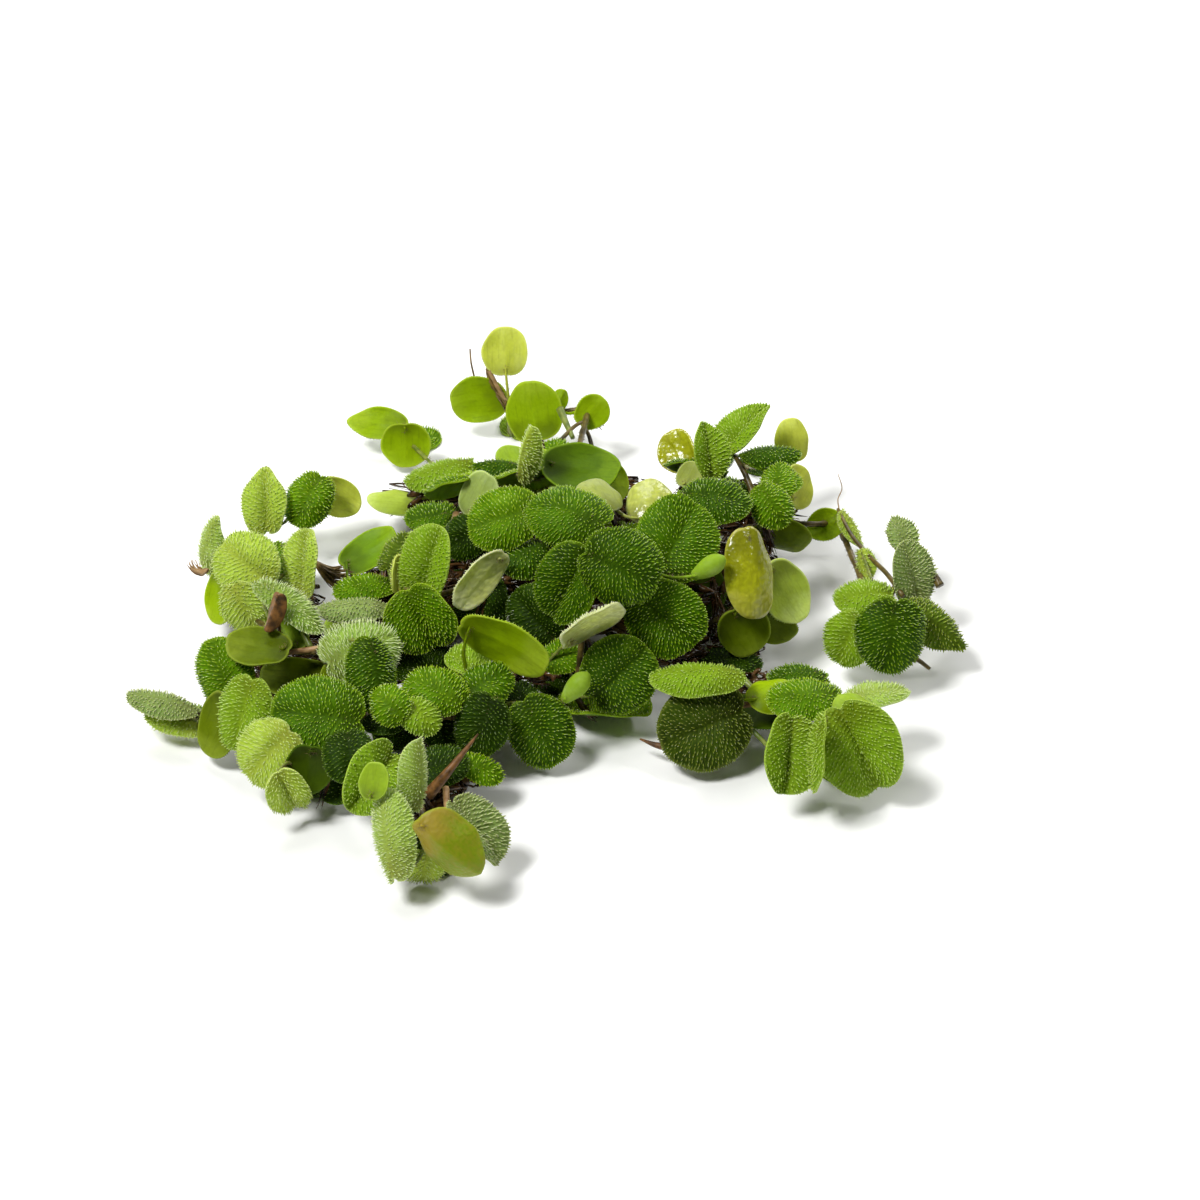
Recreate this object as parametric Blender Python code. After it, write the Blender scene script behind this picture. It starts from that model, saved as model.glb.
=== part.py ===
"""Salvinia, a floating water fern: one tangled clump of branching sprigs, out of the water.

Each sprig is one solid: a rhizome, its nodes, the folded round leaves on short stalks and the
brown root-like leaves that hang from the nodes. World axes: +X right, +Y away from the viewer
of the photograph, +Z up. The clump rests on z = 0 with its origin under its middle.
All lengths below are in millimetres until a mesh is made.
"""

import math
from dataclasses import dataclass
from typing import NamedTuple

import bmesh
import bpy
from mathutils import Vector
from mathutils.bvhtree import BVHTree

# Driving dimensions, in millimetres and degrees
MM = 0.001
LEAF_THICKNESS = 0.7
LEAF_ROWS = 3
BASE_NOTCH = 0.22
CLEARANCE = 0.3
STALK_RADIUS = 0.55
STALK_TIP_RADIUS = 0.13
STALK_REACH = 2.2
RHIZOME_RADIUS = 0.62
NODE_RADIUS = 1.1
ROOT_RADIUS = 0.65
ROOT_REACH = 5.0
ROOT_DROP = 12.0
ROOT_TURNS = 8
SHOWS_COST = 2
MERGE_DISTANCE = 1e-7
FLAT_ANGLE = 3.0
SKIN = 0.01
SMOOTH_ANGLE = 40.0
LEAF_ROUGHNESS = 0.42
HUB_DEPTHS = (1.6, 3.2, 4.8, 6.4, 8.4)
HUB_SHIFTS = (-2.8, 0.0, 2.8)
SLIDE_STEP = 0.4
SLIDE_LIMIT = 20.0
SIGHT = 60.0

# How the photograph looks at the clump. Pixels are in its 1200 by 1200 frame.
VIEW_ELEVATION = 38.0
VIEW_DISTANCE = 600.0
PIXELS_PER_MM = 5.4
VIEW_CENTRE_PX = 600.0
VIEW_TARGET = Vector((8.9, 5.5, 5.0))

SIN_VIEW = math.sin(math.radians(VIEW_ELEVATION))
COS_VIEW = math.cos(math.radians(VIEW_ELEVATION))
SCREEN_RIGHT = Vector((1.0, 0.0, 0.0))
SCREEN_UP = Vector((0.0, SIN_VIEW, COS_VIEW))
TO_VIEWER = Vector((0.0, -COS_VIEW, SIN_VIEW))
EYE = VIEW_TARGET + TO_VIEWER * VIEW_DISTANCE
FOCAL_PX = PIXELS_PER_MM * VIEW_DISTANCE


class Form(NamedTuple):
    """How a leaf bends, in degrees, seen with its upper face up.

    fold lifts both halves about the midrib, curl bends each half further out to its rim, and
    arch bends base and tip along the midrib. Negative values droop.
    """

    fold: float
    curl: float
    arch: float


FLAT = Form(0, 0, 0)
DISC = Form(7, -26, -12)
DOME = Form(2, -42, -26)
ROOF = Form(-22, -22, -14)
FOLD = Form(34, -22, -8)
VALLEY = Form(15, -16, -8)
CREST = Form(-44, -24, -16)
CUP = Form(4, 38, 22)
BUD = Form(40, 20, 0)


@dataclass
class Leaf:
    """One leaf: where its middle is, which way its upper face and its tip look, and its size."""

    name: str
    centre: Vector
    face: Vector
    tip: Vector
    length: float
    width: float
    form: Form
    resting: bool = False

    def moved(self, step):
        """The same leaf, step millimetres nearer to the viewer."""
        away = (EYE - self.centre).normalized() * step
        return Leaf(
            self.name, self.centre + away, self.face, self.tip, self.length, self.width, self.form
        )


def from_view(px, py, high):
    """The point at a height above the ground that the photograph shows at a pixel."""
    ray = -TO_VIEWER * FOCAL_PX
    ray += SCREEN_RIGHT * (px - VIEW_CENTRE_PX) - SCREEN_UP * (py - VIEW_CENTRE_PX)
    return EYE + ray * ((high - EYE.z) / ray.z)


def seen(name, at, high, size, tip, tilt, lean, form, under=False):
    """A leaf placed as the photograph shows it.

    at is its middle in pixels and high its height in mm, size is length and width in mm. tip is
    the way the tip points on the picture, tilt turns the visible face away from the viewer and
    lean says which way, in degrees with 0 to the right and 90 up. under: the underside shows.
    """
    tilted, leaning, pointing = map(math.radians, (tilt, lean, tip))
    across = SCREEN_RIGHT * math.cos(leaning) + SCREEN_UP * math.sin(leaning)
    shown = TO_VIEWER * math.cos(tilted) + across * math.sin(tilted)
    run = SCREEN_RIGHT * math.cos(pointing) + SCREEN_UP * math.sin(pointing)
    run -= TO_VIEWER * (run.dot(shown) / shown.dot(TO_VIEWER))
    face = -shown if under else shown
    return Leaf(name, from_view(*at, high), face, run.normalized(), size[0], size[1], form)


def placed(name, at_mm, size, tip, faces, form):
    """A leaf on the side the photograph does not show.

    at_mm is its middle, tip the compass angle of its tip, and faces the compass angle and the
    elevation of its upper face, with 0 along +X and 90 along +Y.
    """
    turn, rise, pointing = map(math.radians, (faces[0], faces[1], tip))
    face = Vector((math.cos(turn), math.sin(turn), 0.0)) * math.cos(rise)
    face.z = math.sin(rise)
    run = Vector((math.cos(pointing), math.sin(pointing), 0.0))
    run = (run - face * run.dot(face)).normalized()
    return Leaf(name, Vector(at_mm), face, run, size[0], size[1], form)


def resting(name, at, size, tip):
    """A flat leaf pressed on the ground, seen by the photograph at a pixel."""
    run = Vector((math.cos(math.radians(tip)), math.sin(math.radians(tip)), 0.0))
    centre = from_view(*at, LEAF_THICKNESS / 2)
    return Leaf(name, centre, Vector((0, 0, 1)), run, size[0], size[1], FLAT, resting=True)


# Every sprig: its whorls from one end of the rhizome to the other, each a list of leaves.
SPRIGS = {
    "back_sprig": [
        [
            seen("upright", (505, 350), 18, (10.0, 9.6), 92, 8, 90, DISC, under=True),
            seen("left_round", (477, 400), 9, (11.8, 9.8), 186, 18, 250, DISC, under=True),
            seen("right_fan", (533, 410), 12, (12.6, 11.6), 98, 16, 200, VALLEY, under=True),
            resting("ground", (524, 424), (11.0, 9.0), 60),
        ],
        [
            seen("small_round", (593, 411), 13, (7.6, 6.6), 48, 10, 0, DISC, under=True),
            seen("bud", (560, 400), 12, (5.0, 3.6), 70, 10, 0, FOLD, under=True),
        ],
    ],
    "back_left_pair": [
        [
            seen("pointed", (377, 423), 6.5, (11.6, 7.4), 176, 22, 90, DISC, under=True),
            seen("round", (406, 446), 5.5, (9.0, 10.2), 272, 12, 270, DISC, under=True),
            resting("ground", (420, 440), (9.0, 8.0), 20),
        ],
    ],
    "back_left_branch": [
        [
            seen("ribbed", (439, 474), 15, (15.2, 11.0), 197, 52, 98, ROOF),
            seen("yellow", (393, 501), 8, (10.8, 8.0), 176, 48, 80, CUP, under=True),
            seen("dim", (430, 518), 9, (10.0, 9.0), 190, 44, 90, DISC),
        ],
        [
            seen("pale_upright", (480, 494), 19, (9.8, 7.6), 62, 24, 200, DISC, under=True),
            seen("dark_top", (497, 468), 19, (10.0, 8.0), 176, 66, 90, ROOF),
            seen("yellow_small", (511, 458), 17, (6.6, 6.0), 120, 30, 90, DISC, under=True),
        ],
    ],
    "back_centre_branch": [
        [
            seen("cupped", (583, 468), 28, (14.8, 11.6), 352, 36, 84, DISC, under=True),
            seen("right_edge", (610, 480), 25, (9.0, 8.0), 310, 34, 40, DISC, under=True),
            seen("behind_curl", (538, 472), 19, (9.6, 7.4), 78, 20, 0, DISC, under=True),
            seen("root_side", (556, 456), 17, (8.6, 7.4), 110, 30, 90, DISC),
            seen("curled_edge", (529, 453), 32, (13.6, 7.6), 76, 58, 196, CREST),
        ],
        [
            seen("pale_left", (597, 496), 30, (10.4, 10.0), 120, 52, 84, CUP, under=True),
            seen("pale_right", (650, 501), 28, (10.0, 9.6), 70, 28, 90, CUP, under=True),
        ],
    ],
    "upper_right_tip": [
        [
            seen("yellow", (676, 450), 20, (8.6, 7.6), 112, 20, 160, DISC, under=True),
            seen("small_pale", (690, 474), 21, (6.0, 4.6), 60, 20, 90, DISC, under=True),
            seen("pointed", (709, 450), 25, (10.6, 8.4), 97, 28, 10, FOLD),
            seen("folded_tip", (741, 430), 24, (13.4, 10.0), 46, 44, 134, FOLD),
            resting("ground", (714, 456), (10.0, 8.0), 90),
        ],
    ],
    "upper_right_curl": [
        [
            seen("ring", (792, 439), 17, (8.8, 7.6), 100, 12, 0, CUP, under=True),
            seen("dark_edge", (771, 456), 22, (12.6, 9.6), 4, 64, 88, ROOF),
            seen("lobe_left", (779, 480), 24, (10.4, 9.4), 84, 52, 104, ROOF),
            seen("lobe_right", (799, 486), 20, (9.0, 8.4), 60, 48, 10, DISC, under=True),
            resting("ground", (764, 464), (9.6, 8.4), 0),
        ],
    ],
    "upper_right_heads": [
        [
            seen("dark_long", (715, 501), 27, (15.4, 12.4), 350, 44, 92, DOME),
            seen("mid_green", (772, 507), 24, (9.6, 8.8), 300, 22, 40, DOME),
            seen("under_dark", (784, 536), 13, (11.6, 9.0), 338, 46, 270, CUP, under=True),
        ],
    ],
    "crown_left": [
        [
            seen("far_left", (502, 519), 28, (14.2, 12.4), 196, 18, 130, DISC),
            seen("top", (566, 514), 32, (16.8, 14.6), 163, 38, 96, DOME),
            seen("lower", (567, 586), 23, (15.4, 13.2), 243, 32, 190, FOLD),
            seen("shaded_fold", (526, 557), 23, (12.4, 10.4), 205, 44, 95, ROOF),
            seen("tucked", (464, 538), 19, (9.4, 8.4), 210, 26, 200, DISC),
        ],
    ],
    "crown_right": [
        [
            seen("facing", (623, 568), 29, (15.8, 15.4), 336, 8, 270, DOME),
            seen("upper", (678, 537), 29, (16.2, 15.2), 62, 14, 60, DISC),
            seen("low", (667, 619), 20, (15.2, 14.2), 320, 12, 250, DISC),
            seen("bud", (709, 567), 27, (6.6, 4.0), 30, 8, 270, BUD, under=True),
        ],
    ],
    "front_slope": [
        [
            seen("broad", (620, 673), 11, (15.0, 14.0), 44, 16, 270, VALLEY),
            seen("rim", (607, 705), 4.5, (17.4, 13.6), 356, 66, 90, CUP),
            seen("bud", (576, 687), 15, (6.6, 4.0), 48, 10, 200, BUD, under=True),
            seen("shade_left", (534, 615), 17, (12.4, 11.4), 130, 28, 200, DISC),
            resting("ground", (588, 668), (17.0, 14.0), 200),
        ],
        [
            seen("pale_strip", (594, 624), 22, (13.4, 12.6), 30, 72, 300, DISC, under=True),
            seen("small_hairy", (563, 656), 13, (7.6, 6.8), 24, 22, 90, DISC),
            resting("ground", (560, 676), (12.0, 10.0), 250),
        ],
    ],
    "yellow_branch": [
        [
            seen("glossy", (751, 577), 21, (17.4, 11.6), 278, 26, 4, DOME, under=True),
            seen("green_side", (786, 593), 14, (12.8, 11.0), 300, 34, 20, DISC, under=True),
            seen("dark_low", (745, 632), 12, (10.6, 9.4), 300, 26, 300, DISC, under=True),
            seen("brown_low", (776, 628), 8, (9.0, 7.6), 330, 40, 270, DISC, under=True),
        ],
        [
            seen("hairy_low", (732, 662), 7, (12.6, 10.0), 352, 52, 90, DOME),
            seen("shade", (700, 590), 15, (12.0, 11.0), 300, 30, 0, DISC, under=True),
            resting("ground", (716, 612), (15.0, 13.0), 280),
        ],
    ],
    "centre_left_branch": [
        [
            seen("long_fold", (428, 566), 22, (16.6, 12.0), 76, 36, 190, FOLD),
            seen("vee", (422, 622), 17, (12.6, 14.6), 296, 20, 260, FOLD),
            seen("feathered", (397, 552), 17, (9.0, 7.6), 62, 34, 110, ROOF),
            seen("yellow_edge", (400, 573), 19, (7.6, 6.0), 84, 62, 0, DISC, under=True),
            resting("ground", (466, 552), (15.0, 13.0), 110),
        ],
        [
            seen("pale_under", (479, 582), 21, (14.0, 7.4), 230, 40, 310, DISC, under=True),
            seen("dark_inner", (480, 607), 13, (13.4, 12.0), 250, 34, 200, DISC),
            resting("ground", (446, 610), (15.0, 13.0), 160),
        ],
    ],
    "middle_left_branch": [
        [
            seen("bright_smooth", (370, 549), 12, (12.4, 8.0), 34, 30, 110, DISC, under=True),
            seen("low_hairy", (362, 588), 12, (11.8, 9.0), 186, 54, 92, DOME),
            seen("pale_edge", (353, 609), 15, (14.2, 9.0), 181, 68, 92, ROOF),
            seen("sliver", (345, 627), 10, (8.6, 7.4), 196, 46, 90, DISC, under=True),
        ],
        [
            seen("fuzzy_pale", (362, 650), 19, (15.8, 13.0), 22, 32, 70, DOME),
            seen("ribbed_dark", (373, 676), 19, (14.2, 11.4), 276, 24, 20, ROOF),
            seen("olive_under", (294, 677), 10, (13.8, 9.4), 178, 42, 90, DISC, under=True),
            seen("olive_small", (338, 676), 12, (7.4, 6.6), 120, 30, 90, DISC, under=True),
            resting("ground", (352, 700), (15.0, 12.0), 200),
        ],
    ],
    "left_upper_branch": [
        [
            seen("pointed_fold", (265, 501), 14, (12.6, 9.6), 92, 14, 180, FOLD),
            seen("dotted", (308, 501), 13, (12.0, 10.4), 244, 16, 100, DOME),
            seen("olive", (340, 498), 10, (10.0, 7.6), 332, 30, 0, DISC, under=True),
        ],
        [
            seen("light_round", (245, 563), 16, (13.2, 12.4), 140, 10, 130, DISC),
            seen("darker", (280, 567), 12, (10.2, 9.0), 290, 28, 60, DISC),
            seen("pale_fold", (303, 562), 17, (13.6, 8.8), 86, 36, 186, FOLD),
            placed("hidden_back", (-50, 14, 6), (10.4, 9.4), 170, (140, 50), DOME),
        ],
    ],
    "left_middle_branch": [
        [
            seen("narrow", (211, 545), 13, (12.8, 8.6), 74, 54, 190, ROOF),
            seen("smooth", (220, 599), 10, (10.0, 8.4), 262, 40, 180, DISC, under=True),
            seen("light", (247, 610), 13, (11.0, 9.6), 300, 26, 240, DISC),
            resting("ground", (246, 592), (12.0, 10.0), 200),
        ],
        [
            seen("white_fuzz", (291, 607), 20, (15.4, 9.4), 322, 60, 56, DOME),
            seen("inner_smooth", (286, 631), 15, (8.6, 7.6), 128, 22, 90, DISC, under=True),
            seen("withered", (274, 613), 22, (7.6, 4.6), 250, 24, 180, DISC, under=True),
            seen("yellow_smooth", (256, 646), 16, (12.0, 8.6), 172, 36, 86, DISC, under=True),
        ],
    ],
    "left_lower_branch": [
        [
            seen("hairy_side", (224, 673), 12, (13.6, 12.2), 108, 24, 200, DISC),
            seen("olive_back", (218, 727), 8, (12.4, 9.6), 250, 36, 190, DISC, under=True),
            seen("light", (243, 716), 11, (14.2, 11.2), 256, 28, 186, DISC),
        ],
        [
            seen("big_dotted", (315, 716), 14, (17.6, 15.0), 174, 16, 100, DISC),
            seen("fuzzy", (268, 755), 9, (12.8, 12.0), 226, 14, 200, DISC),
            seen("fuzzy_low", (288, 793), 4.5, (9.8, 8.2), 290, 40, 300, FOLD),
        ],
        [
            seen("dark_under", (308, 771), 7, (9.6, 8.6), 262, 22, 270, DISC, under=True),
            seen("dark_upper", (350, 758), 13, (10.8, 9.4), 280, 26, 90, DISC),
            seen("dark_low", (336, 789), 4, (7.4, 6.4), 290, 40, 90, DISC),
            resting("ground", (318, 776), (12.0, 10.0), 280),
        ],
    ],
    "left_tip": [
        [
            seen("upper_half", (161, 703), 8.5, (13.8, 7.4), 166, 52, 80, ROOF),
            seen("lower_half", (174, 721), 4.5, (11.6, 6.6), 164, 46, 80, ROOF),
            resting("ground", (188, 716), (8.0, 6.0), 180),
        ],
    ],
    "front_centre_branch": [
        [
            seen("long_smooth", (507, 646), 19, (17.6, 11.4), 333, 46, 245, DISC, under=True),
            seen("yellow_fuzzy", (467, 659), 15, (8.8, 8.0), 160, 46, 90, CUP),
            seen("head_right", (487, 684), 15, (10.8, 9.6), 30, 26, 90, DOME),
            seen("head_left", (434, 690), 16, (12.2, 10.6), 156, 28, 90, DOME),
            resting("ground", (430, 666), (16.0, 12.0), 180),
        ],
        [
            seen("small_ribbed", (389, 704), 16, (8.2, 7.2), 136, 20, 130, DOME),
            seen("small_hairy", (421, 717), 13, (8.6, 7.4), 320, 34, 60, DOME),
            seen("shade_rim", (384, 722), 11, (8.6, 6.6), 190, 50, 90, DISC),
            seen("shade_low", (443, 729), 9, (9.0, 8.0), 280, 26, 90, DISC),
            resting("ground", (404, 732), (12.0, 10.0), 200),
        ],
        [
            seen("dark_smooth", (481, 727), 10, (11.8, 10.4), 246, 18, 200, DISC),
            seen("dotted_face", (542, 733), 8, (13.6, 12.2), 300, 8, 270, DISC),
            seen("shade_link", (520, 700), 9, (9.0, 8.0), 100, 40, 90, DISC),
            resting("ground", (506, 694), (9.6, 8.8), 20),
        ],
    ],
    "front_sprig": [
        [
            seen("bright_cup", (373, 780), 13, (14.0, 11.8), 232, 30, 20, FOLD),
            seen("small_round", (374, 780), 19, (6.8, 5.2), 80, 14, 180, DISC, under=True),
            seen("standing", (415, 774), 18, (13.6, 9.0), 88, 58, 350, ROOF),
            seen("dark_top", (442, 766), 10, (10.4, 8.6), 4, 34, 90, DISC),
            seen("right_tip", (482, 770), 8, (9.0, 6.0), 338, 40, 60, DOME),
            resting("shaded", (392, 772), (11.0, 9.0), 210),
        ],
        [
            seen("ribbed_light", (391, 833), 12, (17.0, 10.4), 98, 36, 176, ROOF),
            seen("smooth_cup", (451, 846), 12, (15.2, 13.4), 318, 20, 260, CUP, under=True),
            seen("low_light", (424, 868), 4, (8.6, 7.2), 260, 44, 270, DISC),
            seen("crinkled", (480, 831), 10, (14.0, 10.0), 308, 44, 30, FOLD),
            resting("ground", (430, 852), (14.0, 12.0), 260),
        ],
    ],
    "lower_right_inner": [
        [
            seen("rim_leaf", (695, 677), 13, (17.4, 11.6), 181, 62, 92, ROOF),
            seen("round", (702, 727), 9, (16.8, 16.2), 202, 6, 270, DISC),
            seen("yellow_edge", (773, 694), 10, (9.6, 8.2), 20, 40, 90, CUP, under=True),
            seen("dark_under", (757, 712), 7, (9.8, 8.4), 350, 44, 90, DISC, under=True),
            resting("ground", (716, 728), (11.0, 9.0), 200),
        ],
    ],
    "lower_right_outer": [
        [
            seen("lying", (802, 699), 15, (14.6, 10.8), 184, 48, 88, DOME),
            seen("dark_behind", (796, 677), 11, (11.6, 8.6), 180, 62, 90, DOME),
            seen("pale_right", (879, 694), 14, (11.6, 7.8), 8, 58, 90, DISC),
            seen("pale_inner", (852, 708), 15, (7.6, 6.6), 150, 30, 90, CUP, under=True),
        ],
        [
            seen("bright_cup", (790, 757), 10, (14.6, 11.8), 265, 26, 10, FOLD),
            seen("edge_on", (817, 755), 15, (15.8, 8.6), 264, 79, 180, DISC),
            seen("big_fold", (860, 751), 11, (17.6, 16.2), 296, 10, 260, FOLD),
            resting("ground", (846, 764), (13.0, 11.0), 300),
        ],
    ],
    "right_sprig": [
        [
            seen("smooth", (824, 525), 10, (7.4, 6.4), 200, 16, 90, DISC, under=True),
            seen("fuzzy_edge", (851, 530), 10, (8.4, 7.0), 300, 70, 30, ROOF),
        ],
        [
            seen("fuzzy_pale", (865, 566), 10, (6.8, 5.8), 280, 54, 180, ROOF),
            seen("light_left", (864, 598), 14, (12.4, 9.6), 186, 42, 84, DOME),
            seen("low_left", (848, 640), 9, (11.0, 9.8), 246, 28, 190, DISC),
            seen("dark_round", (890, 637), 12, (14.6, 14.2), 262, 8, 270, DOME),
            seen("tip_right", (935, 626), 10, (13.4, 9.8), 322, 24, 40, ROOF),
        ],
        [
            seen("folded_high", (912, 572), 15, (12.4, 9.6), 104, 30, 350, VALLEY),
            seen("pale_top", (902, 534), 14, (8.0, 5.8), 112, 24, 90, DISC),
            resting("ground", (900, 622), (11.0, 9.4), 250),
        ],
    ],
    "back_slope_left": [
        [
            placed("top", (-18, 21, 20), (14.0, 12.0), 120, (110, 42), DISC),
            placed("side", (-29, 13, 10), (12.4, 11.0), 200, (160, 40), DISC),
            placed("low", (-19, 29, 7), (13.4, 12.4), 100, (95, 40), DOME),
            placed("foot", (-28, 21, 4), (11.0, 10.0), 170, (130, 60), DISC),
        ],
    ],
    "back_slope_middle": [
        [
            placed("crest", (-4, 20, 22), (14.6, 13.0), 80, (90, 40), DISC),
            placed("right", (6, 25, 19), (13.4, 12.4), 30, (70, 45), DOME),
            placed("left", (-11, 31, 13), (14.0, 13.0), 130, (110, 36), DISC),
            placed("low", (3, 39, 8), (14.2, 13.0), 80, (85, 34), DOME),
            placed("foot", (-10, 43, 4), (11.6, 10.4), 110, (100, 62), DISC),
            placed("saddle", (15, 19, 11), (12.0, 10.8), 60, (75, 46), DISC),
        ],
    ],
    "back_slope_right": [
        [
            placed("crest", (27, 25, 21), (12.6, 11.4), 60, (80, 42), DISC),
            placed("right", (37, 27, 13), (12.4, 11.6), 20, (40, 40), DOME),
            placed("low", (29, 34, 6), (13.4, 12.0), 90, (80, 36), DISC),
            placed("foot", (38, 35, 4), (11.0, 9.8), 60, (60, 56), DOME),
            placed("gap", (18, 28, 4), (11.0, 10.0), 100, (90, 60), DISC),
        ],
    ],
}

# Where a sprig's rhizome goes on into the rest of the clump: pixels and height of its far end
RUNNERS = {
    "back_sprig": [(578, 450, 17)],
    "back_left_pair": [(430, 462, 6), (452, 484, 7)],
    "upper_right_tip": [(706, 492, 17)],
    "upper_right_curl": [(760, 492, 16)],
    "left_upper_branch": [(291, 590, 10)],
    "middle_left_branch": [(296, 652, 13)],
    "left_tip": [(204, 712, 5)],
    "front_sprig": [(436, 742, 6)],
    "lower_right_inner": [(716, 668, 6)],
    "lower_right_outer": [(752, 704, 10)],
    "right_sprig": [(806, 524, 11), (780, 520, 8)],
}


def bend(x, y, leaf):
    """Carries a point of the flat leaf onto its folded, curled and arched shape."""
    fold, curl, arch = (math.radians(angle) for angle in leaf.form)
    turn = curl / (leaf.width / 2) if curl else 1e-6
    reach = abs(x)
    across = (math.sin(fold + turn * reach) - math.sin(fold)) / turn
    rise = (math.cos(fold) - math.cos(fold + turn * reach)) / turn
    bow = arch / (leaf.length / 2) if arch else 1e-6
    along = (1 / bow - rise) * math.sin(bow * y)
    rise = 1 / bow - (1 / bow - rise) * math.cos(bow * y)
    return Vector((math.copysign(across, x), along, rise))


def leaf_sheet(leaf):
    """Points and faces of the leaf's middle surface: base, rows of rim, midrib and rim, tip."""
    rows = LEAF_ROWS
    angles = [math.pi * ((row + 0.75) / (rows + 0.5) - 0.5) for row in range(rows)]
    half_length, half_width = leaf.length / 2, leaf.width / 2
    flat = [(0.0, -half_length * (1 - BASE_NOTCH))]
    for angle in angles:
        x, y = half_width * math.cos(angle), half_length * math.sin(angle)
        flat += [(-x, y), (0.0, y), (x, y)]
    flat[2] = (0.0, flat[0][1] * 0.5 + flat[5][1] * 0.5)
    flat.append((0.0, half_length))
    faces = [(0, 2, 1), (0, 3, 2)]
    for row in range(rows - 1):
        left, middle, right = 1 + 3 * row, 2 + 3 * row, 3 + 3 * row
        faces += [(left, middle, middle + 3), (left, middle + 3, left + 3)]
        faces += [(middle, right, right + 3), (middle, right + 3, middle + 3)]
    tip, last = len(flat) - 1, 1 + 3 * (rows - 1)
    faces += [(last, last + 1, tip), (last + 1, last + 2, tip)]
    points = [bend(x, y, leaf) for x, y in flat]
    middle = sum(points, Vector()) / len(points)
    if leaf.resting:
        middle = Vector()
    return [point - middle for point in points], faces


def leaf_solid(leaf, grow=0.0):
    """Points and faces of the closed leaf, in millimetres and in world place."""
    sheet, faces = leaf_sheet(leaf)
    normals = [Vector() for _ in sheet]
    for a, b, c in faces:
        normal = (sheet[b] - sheet[a]).cross(sheet[c] - sheet[a])
        for corner in (a, b, c):
            normals[corner] += normal
    half = LEAF_THICKNESS / 2 + grow
    side = leaf.tip.cross(leaf.face).normalized()
    swell = 1 + 2 * grow / leaf.width

    def world(point):
        return leaf.centre + side * point.x + leaf.tip * point.y + leaf.face * point.z

    top = [world(p * swell + n.normalized() * half) for p, n in zip(sheet, normals)]
    low = [world(p * swell - n.normalized() * half) for p, n in zip(sheet, normals)]
    count = len(sheet)
    rim = [0, *range(3, count - 1, 3), count - 1, *range(count - 4, 0, -3)]
    closed = list(faces) + [(c + count, b + count, a + count) for a, b, c in faces]
    for here, there in zip(rim, rim[1:] + rim[:1]):
        closed.append((there, here, here + count))
        closed.append((there, here + count, there + count))
    return top + low, closed


def leaf_body(leaf):
    """Points and faces of the closed leaf as it is built: thick at the midrib, sharp at the rim.

    A leaf that rests is flat below, because it lies on the ground.
    """
    points, _ = leaf_solid(leaf)
    _, faces = leaf_sheet(leaf)
    count = len(points) // 2
    body, below = [], []
    for high, low in zip(points[:count], points[count:]):
        if len(body) % 3 == 2:
            body.append(high)
            below.append(low)
        else:
            body.append(low if leaf.resting else high.lerp(low, 0.5))
    under = {2 + 3 * place: count + place for place in range(len(below))}
    turned = [tuple(under.get(corner, corner) for corner in reversed(face)) for face in faces]
    return body + below, faces + turned


def base_of(leaf, inward):
    """The point inward millimetres up the midrib from the leaf's base."""
    sheet, _ = leaf_sheet(leaf)
    first, second = sheet[0], sheet[2]
    local = first + (second - first).normalized() * inward
    side = leaf.tip.cross(leaf.face).normalized()
    return leaf.centre + side * local.x + leaf.tip * local.y + leaf.face * local.z


def lowest(leaf):
    """The height of the leaf's lowest point."""
    return min(point.z for point in leaf_solid(leaf)[0])


def settle(leaves):
    """Slides each leaf along the line of sight until it clears the leaves behind it."""
    done = []
    result = {}
    order = sorted(
        leaves, key=lambda key: (not leaves[key].resting, leaves[key].centre.dot(TO_VIEWER))
    )
    steps = [SLIDE_STEP * n for n in range(int(SLIDE_LIMIT / SLIDE_STEP))]
    for key in order:
        leaf = leaves[key]
        if not leaf.resting:
            low = lowest(leaf)
            if low < CLEARANCE:
                leaf = leaf.moved((CLEARANCE - low) / SIN_VIEW)
        start, found = leaf, None
        for step in steps:
            trial = start if leaf.resting else start.moved(step)
            tree = BVHTree.FromPolygons(*leaf_solid(trial, grow=CLEARANCE / 2))
            near = [
                other
                for other in done
                if (other[0] - trial.centre).length < other[2] + trial.length * 0.8
            ]
            if leaf.resting or not any(tree.overlap(other[1]) for other in near):
                found = trial
                break
        if found is None:
            found = start
        found.resting = leaf.resting
        tree = BVHTree.FromPolygons(*leaf_solid(found, grow=CLEARANCE / 2))
        done.append((found.centre, tree, found.length * 0.8))
        result[key] = found
    return result


def tube(points, radii, sides=3):
    """Points and faces of a closed tube along a path, with flat ends."""
    rings, faces = [], []
    across = None
    for index, point in enumerate(points):
        ahead = points[min(index + 1, len(points) - 1)] - points[max(index - 1, 0)]
        ahead.normalize()
        if across is None:
            across = ahead.orthogonal().normalized()
        across = (across - ahead * across.dot(ahead)).normalized()
        other = ahead.cross(across)
        for side in range(sides):
            angle = 2 * math.pi * side / sides
            offset = across * math.cos(angle) + other * math.sin(angle)
            rings.append(point + offset * radii[index])
    for ring in range(len(points) - 1):
        for side in range(sides):
            here, beside = ring * sides + side, ring * sides + (side + 1) % sides
            faces.append((here, beside, beside + sides, here + sides))
    last = (len(points) - 1) * sides
    faces.append(tuple(reversed(range(sides))))
    faces.append(tuple(range(last, last + sides)))
    return rings, faces


def ball(centre, radius):
    """Points and faces of a small ball: a ring of five between two poles."""
    sides = 5
    points = [centre - Vector((0, 0, radius)), centre + Vector((0, 0, radius))]
    for side in range(sides):
        angle = 2 * math.pi * (side + 0.3) / sides
        points.append(centre + Vector((math.cos(angle), math.sin(angle), 0)) * radius)
    faces = []
    for side in range(sides):
        here, beside = 2 + side, 2 + (side + 1) % sides
        faces += [(0, beside, here), (1, here, beside)]
    return points, faces


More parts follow.
